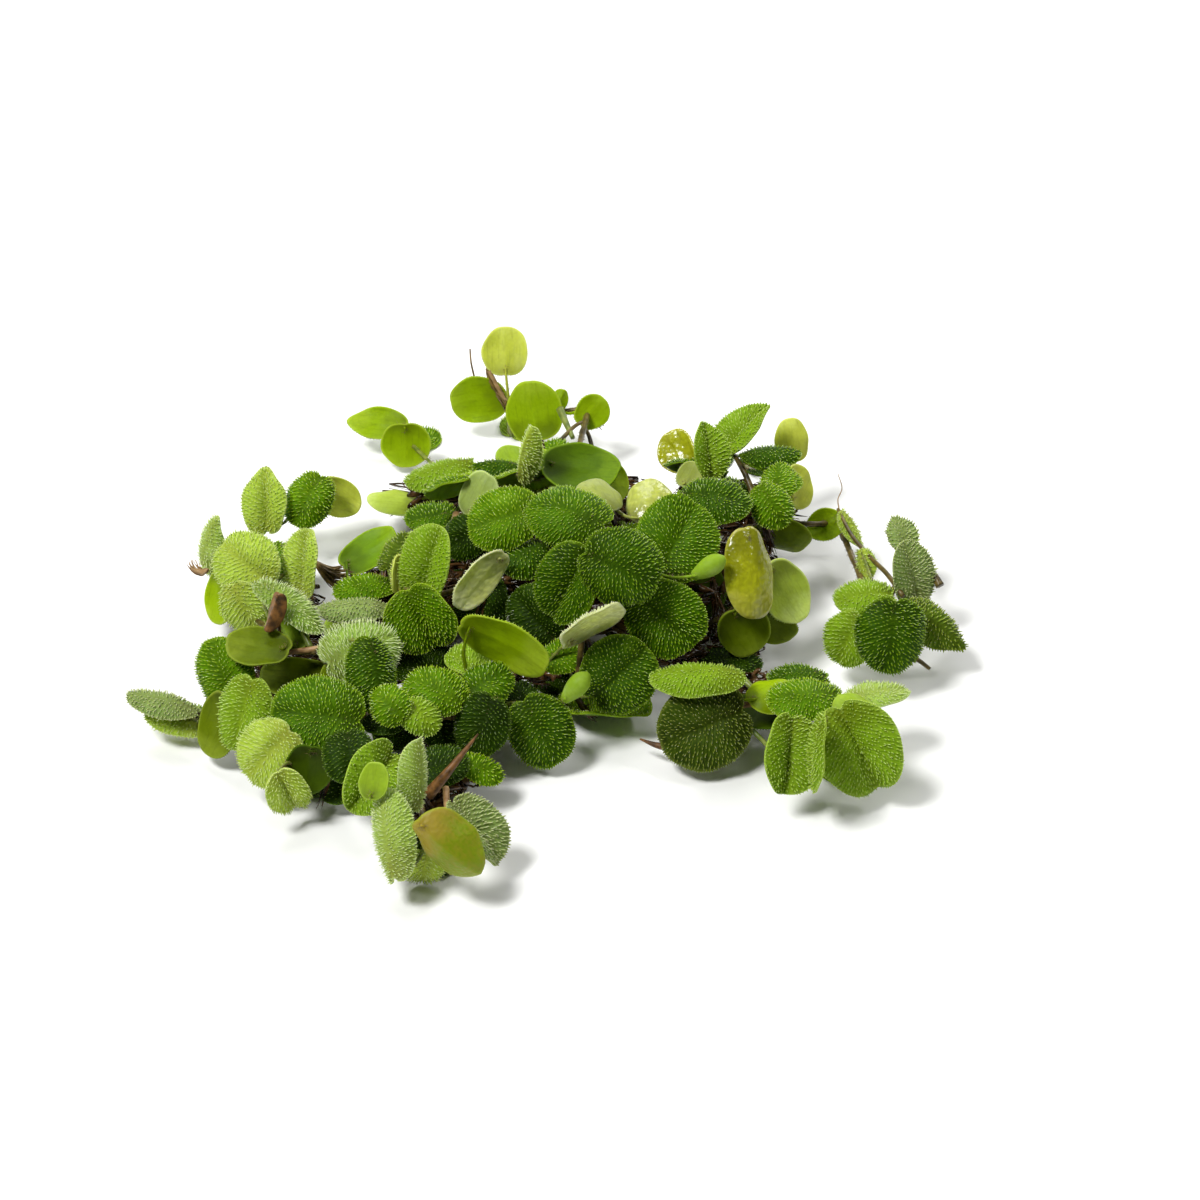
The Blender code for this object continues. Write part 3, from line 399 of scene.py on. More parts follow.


# Every sprig: its whorls from one end of the rhizome to the other, each a list of leaves.
# Dark SHADE leaves, many resting on the ground, fill the gaps of the heap as painted shade
SPRIGS: dict[str, list[list[Leaf]]] = {
    "back_sprig": [[
        below("upright", (505, 350), 18, (10.0, 9.6), 92, 8, 90, DISC, Tone.YELLOW),
        below("left_round", (477, 400), 9, (11.8, 9.8), 186, 18, 250, DISC, Tone.LIME),
        below("right_fan", (533, 410), 12, (12.6, 11.6), 98, 16, 200, VALLEY, Tone.LIME),
        resting((524, 424), (11.0, 9.0), 60, Tone.FRESH),
    ], [
        below("small_round", (593, 411), 13, (7.6, 6.6), 48, 10, 0, DISC, Tone.LIME),
        below("bud", (560, 400), 12, (5.0, 3.6), 70, 10, 0, FOLD, Tone.LIME),
    ]],
    "back_left_pair": [[
        below("pointed", (377, 423), 6.5, (11.6, 7.4), 176, 22, 90, DISC, Tone.LIME),
        below("round", (406, 446), 5.5, (9.0, 10.2), 272, 12, 270, DISC, Tone.LIME),
        resting((420, 440), (9.0, 8.0), 20, Tone.MID),
    ]],
    "back_left_branch": [[
        seen("ribbed", (439, 474), 15, (15.2, 11.0), 197, 52, 98, ROOF, Tone.FRESH),
        below("yellow", (393, 501), 8, (10.8, 8.0), 176, 48, 80, CUP, Tone.LIGHT),
        seen("dim", (430, 518), 9, (10.0, 9.0), 190, 44, 90, DISC, Tone.MOSS),
    ], [
        below("pale_upright", (480, 494), 19, (9.8, 7.6), 62, 24, 200, DISC, Tone.SILVER),
        seen("dark_top", (497, 468), 19, (10.0, 8.0), 176, 66, 90, ROOF, Tone.DEEP),
        below("yellow_small", (511, 458), 17, (6.6, 6.0), 120, 30, 90, DISC, Tone.FRESH),
    ]],
    "back_centre_branch": [[
        below("cupped", (583, 468), 28, (14.8, 11.6), 352, 36, 84, DISC, Tone.DEEP),
        below("right_edge", (610, 480), 25, (9.0, 8.0), 310, 34, 40, DISC, Tone.LIME),
        below("behind_curl", (538, 472), 19, (9.6, 7.4), 78, 20, 0, DISC, Tone.FRESH),
        seen("root_side", (556, 456), 17, (8.6, 7.4), 110, 30, 90, DISC, Tone.MID),
        seen("curled_edge", (529, 453), 32, (13.6, 7.6), 76, 58, 196, CREST, Tone.LIGHT),
    ], [
        below("pale_left", (597, 496), 30, (10.4, 10.0), 120, 52, 84, CUP, Tone.GREY),
        below("pale_right", (650, 501), 28, (10.0, 9.6), 70, 28, 90, CUP, Tone.PALE),
    ]],
    "upper_right_tip": [[
        below("yellow", (676, 450), 20, (8.6, 7.6), 112, 20, 160, DISC, Tone.GOLD),
        below("small_pale", (690, 474), 21, (6.0, 4.6), 60, 20, 90, DISC, Tone.GREY),
        seen("pointed", (709, 450), 25, (10.6, 8.4), 97, 28, 10, FOLD, Tone.FRESH),
        seen("folded_tip", (741, 430), 24, (13.4, 10.0), 46, 44, 134, FOLD, Tone.FRESH),
        resting((714, 456), (10.0, 8.0), 90, Tone.SHADE),
    ]],
    "upper_right_curl": [[
        below("ring", (792, 439), 17, (8.8, 7.6), 100, 12, 0, CUP, Tone.YELLOW),
        seen("dark_edge", (771, 456), 22, (12.6, 9.6), 4, 64, 88, ROOF, Tone.DEEP),
        seen("lobe_left", (779, 480), 24, (10.4, 9.4), 84, 52, 104, ROOF, Tone.MID),
        below("lobe_right", (799, 486), 20, (9.0, 8.4), 60, 48, 10, DISC, Tone.YELLOW),
        resting((764, 464), (9.6, 8.4), 0, Tone.SHADE),
    ]],
    "upper_right_heads": [[
        seen("dark_long", (715, 501), 27, (15.4, 12.4), 350, 44, 92, DOME, Tone.DEEP),
        seen("mid_green", (772, 507), 24, (9.6, 8.8), 300, 22, 40, DOME, Tone.MID),
        below("under_dark", (784, 536), 13, (11.6, 9.0), 338, 46, 270, CUP, Tone.OLIVE),
    ]],
    "crown_left": [[
        seen("far_left", (502, 519), 28, (14.2, 12.4), 196, 18, 130, DISC, Tone.MID),
        seen("top", (566, 514), 32, (16.8, 14.6), 163, 38, 96, DOME, Tone.MOSS),
        seen("lower", (567, 586), 23, (15.4, 13.2), 243, 32, 190, FOLD, Tone.DEEP),
        seen("shaded_fold", (526, 557), 23, (12.4, 10.4), 205, 44, 95, ROOF, Tone.DEEP),
        seen("tucked", (464, 538), 19, (9.4, 8.4), 210, 26, 200, DISC, Tone.SHADE),
    ]],
    "crown_right": [[
        seen("facing", (623, 568), 29, (15.8, 15.4), 336, 8, 270, DOME, Tone.DEEP),
        seen("upper", (678, 537), 29, (16.2, 15.2), 62, 14, 60, DISC, Tone.MOSS),
        seen("low", (667, 619), 20, (15.2, 14.2), 320, 12, 250, DISC, Tone.MOSS),
        below("bud", (709, 567), 27, (6.6, 4.0), 30, 8, 270, BUD, Tone.BUD),
    ]],
    "front_slope": [[
        seen("broad", (620, 673), 11, (15.0, 14.0), 44, 16, 270, VALLEY, Tone.DEEP),
        seen("rim", (607, 705), 4.5, (17.4, 13.6), 356, 66, 90, CUP, Tone.MID),
        below("bud", (576, 687), 15, (6.6, 4.0), 48, 10, 200, BUD, Tone.BUD),
        seen("shade_left", (534, 615), 17, (12.4, 11.4), 130, 28, 200, DISC, Tone.SHADE),
        resting((588, 668), (17.0, 14.0), 200, Tone.SHADE),
    ], [
        below("pale_strip", (594, 624), 22, (13.4, 12.6), 30, 72, 300, DISC, Tone.CREAM),
        seen("small_hairy", (563, 656), 13, (7.6, 6.8), 24, 22, 90, DISC, Tone.MID),
        resting((560, 676), (12.0, 10.0), 250, Tone.SHADE),
    ]],
    "yellow_branch": [[
        below("glossy", (751, 577), 21, (17.4, 11.6), 278, 26, 4, DOME, Tone.GOLD),
        below("green_side", (786, 593), 14, (12.8, 11.0), 300, 34, 20, DISC, Tone.LIGHT),
        below("dark_low", (745, 632), 12, (10.6, 9.4), 300, 26, 300, DISC, Tone.OLIVE),
        below("brown_low", (776, 628), 8, (9.0, 7.6), 330, 40, 270, DISC, Tone.OLIVE),
    ], [
        seen("hairy_low", (732, 662), 7, (12.6, 10.0), 352, 52, 90, DOME, Tone.SHADE),
        below("shade", (700, 590), 15, (12.0, 11.0), 300, 30, 0, DISC, Tone.SHADE),
        resting((716, 612), (15.0, 13.0), 280, Tone.SHADE),
    ]],
    "centre_left_branch": [[
        seen("long_fold", (428, 566), 22, (16.6, 12.0), 76, 36, 190, FOLD, Tone.FRESH),
        seen("vee", (422, 622), 17, (12.6, 14.6), 296, 20, 260, FOLD, Tone.MID),
        seen("feathered", (397, 552), 17, (9.0, 7.6), 62, 34, 110, ROOF, Tone.OLIVE),
        below("yellow_edge", (400, 573), 19, (7.6, 6.0), 84, 62, 0, DISC, Tone.YELLOW),
        resting((466, 552), (15.0, 13.0), 110, Tone.SHADE),
    ], [
        below("pale_under", (479, 582), 21, (14.0, 7.4), 230, 40, 310, DISC, Tone.CREAM),
        seen("dark_inner", (480, 607), 13, (13.4, 12.0), 250, 34, 200, DISC, Tone.SHADE),
        resting((446, 610), (15.0, 13.0), 160, Tone.SHADE),
    ]],
    "middle_left_branch": [[
        below("bright_smooth", (370, 549), 12, (12.4, 8.0), 34, 30, 110, DISC, Tone.MID),
        seen("low_hairy", (362, 588), 12, (11.8, 9.0), 186, 54, 92, DOME, Tone.MID),
        seen("pale_edge", (353, 609), 15, (14.2, 9.0), 181, 68, 92, ROOF, Tone.GREY),
        below("sliver", (345, 627), 10, (8.6, 7.4), 196, 46, 90, DISC, Tone.FRESH),
    ], [
        seen("fuzzy_pale", (362, 650), 19, (15.8, 13.0), 22, 32, 70, DOME, Tone.FROST),
        seen("ribbed_dark", (373, 676), 19, (14.2, 11.4), 276, 24, 20, ROOF, Tone.DEEP),
        below("olive_under", (294, 677), 10, (13.8, 9.4), 178, 42, 90, DISC, Tone.OLIVE),
        below("olive_small", (338, 676), 12, (7.4, 6.6), 120, 30, 90, DISC, Tone.OLIVE),
        resting((352, 700), (15.0, 12.0), 200, Tone.SHADE),
    ]],
    "left_upper_branch": [[
        seen("pointed_fold", (265, 501), 14, (12.6, 9.6), 92, 14, 180, FOLD, Tone.LIGHT),
        seen("dotted", (308, 501), 13, (12.0, 10.4), 244, 16, 100, DOME, Tone.MID),
        below("olive", (340, 498), 10, (10.0, 7.6), 332, 30, 0, DISC, Tone.YELLOW),
    ], [
        seen("light_round", (245, 563), 16, (13.2, 12.4), 140, 10, 130, DISC, Tone.LIGHT),
        seen("darker", (280, 567), 12, (10.2, 9.0), 290, 28, 60, DISC, Tone.MID),
        seen("pale_fold", (303, 562), 17, (13.6, 8.8), 86, 36, 186, FOLD, Tone.LIGHT),
        placed("hidden_back", (-50, 14, 6), (10.4, 9.4), 170, (140, 50), DOME, Tone.MID),
    ]],
    "left_middle_branch": [[
        seen("narrow", (211, 545), 13, (12.8, 8.6), 74, 54, 190, ROOF, Tone.SILVER),
        below("smooth", (220, 599), 10, (10.0, 8.4), 262, 40, 180, DISC, Tone.LIME),
        seen("light", (247, 610), 13, (11.0, 9.6), 300, 26, 240, DISC, Tone.LIGHT),
        resting((246, 592), (12.0, 10.0), 200, Tone.SHADE),
    ], [
        seen("white_fuzz", (291, 607), 20, (15.4, 9.4), 322, 60, 56, DOME, Tone.FROST),
        below("inner_smooth", (286, 631), 15, (8.6, 7.6), 128, 22, 90, DISC, Tone.FRESH),
        below("withered", (274, 613), 22, (7.6, 4.6), 250, 24, 180, DISC, Tone.WITHERED),
        below("yellow_smooth", (256, 646), 16, (12.0, 8.6), 172, 36, 86, DISC, Tone.OLIVE),
    ]],
    "left_lower_branch": [[
        seen("hairy_side", (224, 673), 12, (13.6, 12.2), 108, 24, 200, DISC, Tone.MID),
        below("olive_back", (218, 727), 8, (12.4, 9.6), 250, 36, 190, DISC, Tone.OLIVE),
        seen("light", (243, 716), 11, (14.2, 11.2), 256, 28, 186, DISC, Tone.FRESH),
    ], [
        seen("big_dotted", (315, 716), 14, (17.6, 15.0), 174, 16, 100, DISC, Tone.MOSS),
        seen("fuzzy", (268, 755), 9, (12.8, 12.0), 226, 14, 200, DISC, Tone.LIGHT),
        seen("fuzzy_low", (288, 793), 4.5, (9.8, 8.2), 290, 40, 300, FOLD, Tone.LIGHT),
    ], [
        below("dark_under", (308, 771), 7, (9.6, 8.6), 262, 22, 270, DISC, Tone.SHADE),
        seen("dark_upper", (350, 758), 13, (10.8, 9.4), 280, 26, 90, DISC, Tone.SHADE),
        seen("dark_low", (336, 789), 4, (7.4, 6.4), 290, 40, 90, DISC, Tone.SHADE),
        resting((318, 776), (12.0, 10.0), 280, Tone.SHADE),
    ]],
    "left_tip": [[
        seen("upper_half", (161, 703), 8.5, (13.8, 7.4), 166, 52, 80, ROOF, Tone.GREY),
        seen("lower_half", (174, 721), 4.5, (11.6, 6.6), 164, 46, 80, ROOF, Tone.LIGHT),
        resting((188, 716), (8.0, 6.0), 180, Tone.MID),
    ]],
    "front_centre_branch": [[
        below("long_smooth", (507, 646), 19, (17.6, 11.4), 333, 46, 245, DISC, Tone.LIME),
        seen("yellow_fuzzy", (467, 659), 15, (8.8, 8.0), 160, 46, 90, CUP, Tone.FRESH),
        seen("head_right", (487, 684), 15, (10.8, 9.6), 30, 26, 90, DOME, Tone.MOSS),
        seen("head_left", (434, 690), 16, (12.2, 10.6), 156, 28, 90, DOME, Tone.MID),
        resting((430, 666), (16.0, 12.0), 180, Tone.SHADE),
    ], [
        seen("small_ribbed", (389, 704), 16, (8.2, 7.2), 136, 20, 130, DOME, Tone.MID),
        seen("small_hairy", (421, 717), 13, (8.6, 7.4), 320, 34, 60, DOME, Tone.FRESH),
        seen("shade_rim", (384, 722), 11, (8.6, 6.6), 190, 50, 90, DISC, Tone.SHADE),
        seen("shade_low", (443, 729), 9, (9.0, 8.0), 280, 26, 90, DISC, Tone.SHADE),
        resting((404, 732), (12.0, 10.0), 200, Tone.SHADE),
    ], [
        seen("dark_smooth", (481, 727), 10, (11.8, 10.4), 246, 18, 200, DISC, Tone.SHADE),
        seen("dotted_face", (542, 733), 8, (13.6, 12.2), 300, 8, 270, DISC, Tone.DEEP),
        seen("shade_link", (520, 700), 9, (9.0, 8.0), 100, 40, 90, DISC, Tone.SHADE),
        resting((506, 694), (9.6, 8.8), 20, Tone.SHADE),
    ]],
    "front_sprig": [[
        seen("bright_cup", (373, 780), 13, (14.0, 11.8), 232, 30, 20, FOLD, Tone.FRESH),
        below("small_round", (374, 780), 19, (6.8, 5.2), 80, 14, 180, DISC, Tone.FRESH),
        seen("standing", (415, 774), 18, (13.6, 9.0), 88, 58, 350, ROOF, Tone.SILVER),
        seen("dark_top", (442, 766), 10, (10.4, 8.6), 4, 34, 90, DISC, Tone.SHADE),
        seen("right_tip", (482, 770), 8, (9.0, 6.0), 338, 40, 60, DOME, Tone.MID),
        resting((392, 772), (11.0, 9.0), 210, Tone.SHADE, name="shaded"),
    ], [
        seen("ribbed_light", (391, 833), 12, (17.0, 10.4), 98, 36, 176, ROOF, Tone.SILVER),
        below("smooth_cup", (451, 846), 12, (15.2, 13.4), 318, 20, 260, CUP, Tone.TAWNY),
        seen("low_light", (424, 868), 4, (8.6, 7.2), 260, 44, 270, DISC, Tone.LIGHT),
        seen("crinkled", (480, 831), 10, (14.0, 10.0), 308, 44, 30, FOLD, Tone.GREY),
        resting((430, 852), (14.0, 12.0), 260, Tone.SHADE),
    ]],
    "lower_right_inner": [[
        seen("rim_leaf", (695, 677), 13, (17.4, 11.6), 181, 62, 92, ROOF, Tone.FRESH),
        seen("round", (702, 727), 9, (16.8, 16.2), 202, 6, 270, DISC, Tone.DUSK),
        below("yellow_edge", (773, 694), 10, (9.6, 8.2), 20, 40, 90, CUP, Tone.LIME),
        below("dark_under", (757, 712), 7, (9.8, 8.4), 350, 44, 90, DISC, Tone.SHADE),
        resting((716, 728), (11.0, 9.0), 200, Tone.SHADE),
    ]],
    "lower_right_outer": [[
        seen("lying", (802, 699), 15, (14.6, 10.8), 184, 48, 88, DOME, Tone.MID),
        seen("dark_behind", (796, 677), 11, (11.6, 8.6), 180, 62, 90, DOME, Tone.DEEP),
        seen("pale_right", (879, 694), 14, (11.6, 7.8), 8, 58, 90, DISC, Tone.SILVER),
        below("pale_inner", (852, 708), 15, (7.6, 6.6), 150, 30, 90, CUP, Tone.FRESH),
    ], [
        seen("bright_cup", (790, 757), 10, (14.6, 11.8), 265, 26, 10, FOLD, Tone.FRESH),
        seen("edge_on", (817, 755), 15, (15.8, 8.6), 264, 79, 180, DISC, Tone.FRESH),
        seen("big_fold", (860, 751), 11, (17.6, 16.2), 296, 10, 260, FOLD, Tone.FRESH),
        resting((846, 764), (13.0, 11.0), 300, Tone.MID),
    ]],
    "right_sprig": [[
        below("smooth", (824, 525), 10, (7.4, 6.4), 200, 16, 90, DISC, Tone.LIME),
        seen("fuzzy_edge", (851, 530), 10, (8.4, 7.0), 300, 70, 30, ROOF, Tone.LIGHT),
    ], [
        seen("fuzzy_pale", (865, 566), 10, (6.8, 5.8), 280, 54, 180, ROOF, Tone.LIGHT),
        seen("light_left", (864, 598), 14, (12.4, 9.6), 186, 42, 84, DOME, Tone.FRESH),
        seen("low_left", (848, 640), 9, (11.0, 9.8), 246, 28, 190, DISC, Tone.FRESH),
        seen("dark_round", (890, 637), 12, (14.6, 14.2), 262, 8, 270, DOME, Tone.DEEP),
        seen("tip_right", (935, 626), 10, (13.4, 9.8), 322, 24, 40, ROOF, Tone.OLIVE),
    ], [
        seen("folded_high", (912, 572), 15, (12.4, 9.6), 104, 30, 350, VALLEY, Tone.GREY),
        seen("pale_top", (902, 534), 14, (8.0, 5.8), 112, 24, 90, DISC, Tone.GREY),
        resting((900, 622), (11.0, 9.4), 250, Tone.OLIVE),
    ]],
    "back_slope_left": [[
        placed("top", (-18, 21, 20), (14.0, 12.0), 120, (110, 42), DISC, Tone.MID),
        placed("side", (-29, 13, 10), (12.4, 11.0), 200, (160, 40), DISC, Tone.FRESH),
        placed("low", (-19, 29, 7), (13.4, 12.4), 100, (95, 40), DOME, Tone.DEEP),
        placed("foot", (-28, 21, 4), (11.0, 10.0), 170, (130, 60), DISC, Tone.MID),
    ]],
    "back_slope_middle": [[
        placed("crest", (-4, 20, 22), (14.6, 13.0), 80, (90, 40), DISC, Tone.MID),
        placed("right", (6, 25, 19), (13.4, 12.4), 30, (70, 45), DOME, Tone.DEEP),
        placed("left", (-11, 31, 13), (14.0, 13.0), 130, (110, 36), DISC, Tone.FRESH),
        placed("low", (3, 39, 8), (14.2, 13.0), 80, (85, 34), DOME, Tone.MID),
        placed("foot", (-10, 43, 4), (11.6, 10.4), 110, (100, 62), DISC, Tone.DEEP),
        placed("saddle", (15, 19, 11), (12.0, 10.8), 60, (75, 46), DISC, Tone.MID),
    ]],
    "back_slope_right": [[
        placed("crest", (27, 25, 21), (12.6, 11.4), 60, (80, 42), DISC, Tone.DEEP),
        placed("right", (37, 27, 13), (12.4, 11.6), 20, (40, 40), DOME, Tone.MID),
        placed("low", (29, 34, 6), (13.4, 12.0), 90, (80, 36), DISC, Tone.FRESH),
        placed("foot", (38, 35, 4), (11.0, 9.8), 60, (60, 56), DOME, Tone.MID),
        placed("gap", (18, 28, 4), (11.0, 10.0), 100, (90, 60), DISC, Tone.DEEP),
    ]],
}

# Where a sprig's rhizome goes on into the rest of the clump: pixels and height of its far end
RUNNERS: dict[str, list[Triple]] = {
    "back_sprig": [(578, 450, 17)],
    "back_left_pair": [(430, 462, 6), (452, 484, 7)],
    "upper_right_tip": [(706, 492, 17)],
    "upper_right_curl": [(760, 492, 16)],
    "left_upper_branch": [(291, 590, 10)],
    "middle_left_branch": [(296, 652, 13)],
    "left_tip": [(204, 712, 5)],
    "front_sprig": [(436, 742, 6)],
    "lower_right_inner": [(716, 668, 6)],
    "lower_right_outer": [(752, 704, 10)],
    "right_sprig": [(806, 524, 11), (780, 520, 8)],
}


# Rows of papillae fan out from the midrib: their spacing and bow in millimetres, and their slope
ROW_SPACING = 0.74
ROW_SLOPE = 0.42
ROW_BOW = 0.02

# How high above the board the lowest points stay
FLOOR_GAP = 0.02

# Thickness along a bud, a wet lock and a strand of a root tangle, from foot to tip
BUD_SWELL = np.array((0.4, 0.55, 0.68, 0.8, 0.9, 0.97, 1.0, 1.0, 0.96, 0.84, 0.6, 0.25))
LOCK_TAPER = np.array((0.5, 0.9, 1.0, 1.0, 0.95, 0.85, 0.7, 0.5, 0.3, 0.08))
MAT_TAPER = np.array((0.3, 0.9, 1.0, 1.0, 0.95, 0.7, 0.15))

# The place on a leaf whose colour a bud takes
BUD_MARK = (0.6, 1.5, 0.5)

# Leaves with a wet gloss underneath, and leaves with little shade in their colour
GLOSSY = {Tone.GOLD, Tone.PALE, Tone.CREAM}
BRIGHT = {Tone.FRESH, Tone.LIGHT, Tone.SILVER, Tone.FROST, Tone.YELLOW, Tone.GREY}

# Leaves that end in a point, and leaves whose skin is bent more than their plain solid
POINTED = {"pointed", "pointed_fold", "narrow", "tip_right", "pale_top", "folded_tip"}
TRUE_FORMS = {
    ("yellow_branch", "glossy"): Form(6, 46, 26),
    ("front_sprig", "smooth_cup"): Form(22, 46, 30),
    ("left_middle_branch", "withered"): Form(38, 18, -10),
    ("lower_right_outer", "big_fold"): Form(40, -34, -12),
    ("lower_right_inner", "round"): Form(16, -26, -12),
    ("crown_right", "upper"): Form(16, -26, -12),
    ("crown_right", "low"): Form(14, -30, -14),
}


class Pile(NamedTuple):
    """How the papillae of a leaf stand, in millimetres and in shares of the leaf or the papilla.

    Of two shares, the second is for a leaf whose underside shows. rooted is how deep in the
    leaf's half a foot lies, and lean is how far papillae tip outward, away from the midrib and
    towards the leaf's tip.
    """

    spacing: float = 0.60
    height: float = 0.72
    foot: float = 0.17
    neck: float = 0.10
    tip: str = "#e4ecb0"
    neck_place: float = 0.62
    sunk: float = 0.05
    rooted: float = 0.42
    first: float = 0.3
    base_reach: float = 1.6
    scatter: Pair = (0.13, 0.11)
    covered: Pair = (0.96, 0.86)
    height_range: Pair = (0.6, 1.25)
    lean: Triple = (0.06, 0.05, 0.03)
    lean_scatter: float = 0.17
    fringe_spacing: float = 0.45
    fringe_place: float = 0.98
    fringe_height: Pair = (0.6, 0.2)
    fringe_lean: float = 0.7


# Papilla tip colours carry painted glints; SHADE leaves get dimmer tips as painted shade
PILES = {
    Tone.SHADE: Pile(height=0.6, tip="#b4c47c"),
    Tone.LIGHT: Pile(spacing=0.52, height=0.8, foot=0.14, neck=0.08, tip="#e2f0b4"),
    Tone.SILVER: Pile(spacing=0.44, height=0.75, foot=0.12, neck=0.075, tip="#eef2d0"),
    Tone.FROST: Pile(spacing=0.44, height=1.2, foot=0.11, neck=0.07, tip="#f8f6e4"),
    Tone.GREY: Pile(spacing=0.52, height=0.8, tip="#dce4bc"),
}


class Rootlets(NamedTuple):
    """A tuft of wet brown root-like strands that the photograph shows between the leaves."""

    name: str
    at: Triple
    end: Triple
    strands: int
    spread: float
    finish: str = "root_wet_brown"


class RootMat(NamedTuple):
    """A tangle of dark roots inside the heap, partly painted shade in its gaps: its middle in pixels and
    height, and its radii.
    """

    name: str
    at: Triple
    radii: Triple
    locks: int
    finish: str = "root_wet_brown"


class Thread(NamedTuple):
    """A single thin stem or root that the photograph shows: pixels and heights along it."""

    name: str
    through: tuple[Triple, ...]
    radii: Pair
    finish: str


class Kind(Enum):
    """The kinds of shader node: type, settings, the inputs that a call fills in turn, output."""

    PLACE = ("ShaderNodeTexCoord", {}, (), "Object")
    LEAF_MM = ("ShaderNodeAttribute", {"attribute_name": "leaf_mm"}, (), "Vector")
    SPLIT = ("ShaderNodeSeparateXYZ", {}, (0,), slice(3))
    JOIN = ("ShaderNodeCombineXYZ", {}, (0, 1, 2), 0)
    NOISE = ("ShaderNodeTexNoise", {}, ("Vector", "Scale", "Detail"), "Fac")
    CELLS = ("ShaderNodeTexVoronoi", {"feature": "SMOOTH_F1"}, ("Vector", "Scale"), "Distance")
    RAMP = ("ShaderNodeMapRange", {"interpolation_type": "SMOOTHSTEP"}, (0, 1, 2), 0)
    MIX = ("ShaderNodeMix", {"data_type": "RGBA"}, (0, 6, 7), 2)
    PLUS = ("ShaderNodeMath", {"operation": "ADD"}, (0, 1), 0)
    MINUS = ("ShaderNodeMath", {"operation": "SUBTRACT"}, (0, 1), 0)
    TIMES = ("ShaderNodeMath", {"operation": "MULTIPLY"}, (0, 1), 0)
    SIZE = ("ShaderNodeMath", {"operation": "ABSOLUTE"}, (0,), 0)
    COSINE = ("ShaderNodeMath", {"operation": "COSINE"}, (0,), 0)
    BUMPS = ("ShaderNodeBump", {}, ("Strength", "Distance", "Height"), 0)
    PITS = ("ShaderNodeBump", {"invert": True}, ("Strength", "Distance", "Height"), 0)


class Wash(NamedTuple):
    """A tint over a colour: none of it where a value is at low, its full share at high.

    A place on the leaf is a value in millimetres. The rim's value is 1, the middle's 0.
    """

    low: float
    high: float
    share: float = 1.0


class Gloss(NamedTuple):
    """How a surface takes light. Each colour goes in by its scatter times depth millimetres."""

    roughness: float
    ior: float
    specular: float = 0.5
    subsurface: float = 0.0
    scatter: Triple = (1.0, 0.2, 0.1)
    depth: float = 0.8


class Coat:
    """A material in the making: its nodes and the Principled shader that they feed."""

    def __init__(self, name: str) -> None:
        """Starts a material that has only its Principled shader."""
        self.material = bpy.data.materials.new(name)
        self.material.use_nodes = True
        self.tree = self.material.node_tree
        self.shader = self.tree.nodes["Principled BSDF"]

    def feed(self, target: Node, values: dict[int | str, object]) -> None:
        """Gives each input named its value, or links it to the node output given."""
        for name, value in values.items():
            if isinstance(value, NodeSocket):
                self.tree.links.new(value, target.inputs[name])
            else:
                target.inputs[name].default_value = value

    def add(self, kind: Kind, *values: object) -> NodeSocket:
        """Adds a node with its settings and links.

        Args:
            kind: what the node does.
            values: a value or another node's output for each of the kind's inputs in turn.

        Returns:
            The output that the kind gives, or a list of three for SPLIT.
        """
        node_type, settings, inputs, output = kind.value
        made = self.tree.nodes.new(node_type)
        for name, value in settings.items():
            setattr(made, name, value)
        self.feed(made, dict(zip(inputs, values)))
        return made.outputs[output]

    def wash(self, colour: object, value: object, wash: Wash, tint: object) -> NodeSocket:
        """Lays a tint over a colour.

        Args:
            colour: what lies below.
            value: the output that says how much of the tint shows.
            wash: between which of its values the tint grows, and to what share.
            tint: what lies over it.

        Returns:
            The new colour.
        """
        share = self.add(Kind.RAMP, value, wash.low, wash.high)
        if wash.share < 1:
            share = self.add(Kind.TIMES, share, wash.share)
        return self.add(Kind.MIX, share, colour, tint)

    def finish(self, colour: object, gloss: Gloss) -> Material:
        """The material, with its colour and gloss in place."""
        values = {
            "Base Color": colour,
            "Roughness": gloss.roughness,
            "IOR": gloss.ior,
            "Specular IOR Level": gloss.specular,
            "Subsurface Weight": gloss.subsurface,
            "Subsurface Radius": gloss.scatter,
            "Subsurface Scale": gloss.depth * MM,
        }
        self.feed(self.shader, values)
        return self.material


def per_mm(size: float) -> float:
    """The texture scale whose pattern repeats about every size millimetres."""
    return 1.0 / (size * MM)


def shaded(colour: Paint, shares: Triple) -> Paint:
    """A colour with a share left of each of its red, green and blue."""
    red, green, blue = (part * share for part, share in zip(colour, shares))
    return (red, green, blue, 1.0)


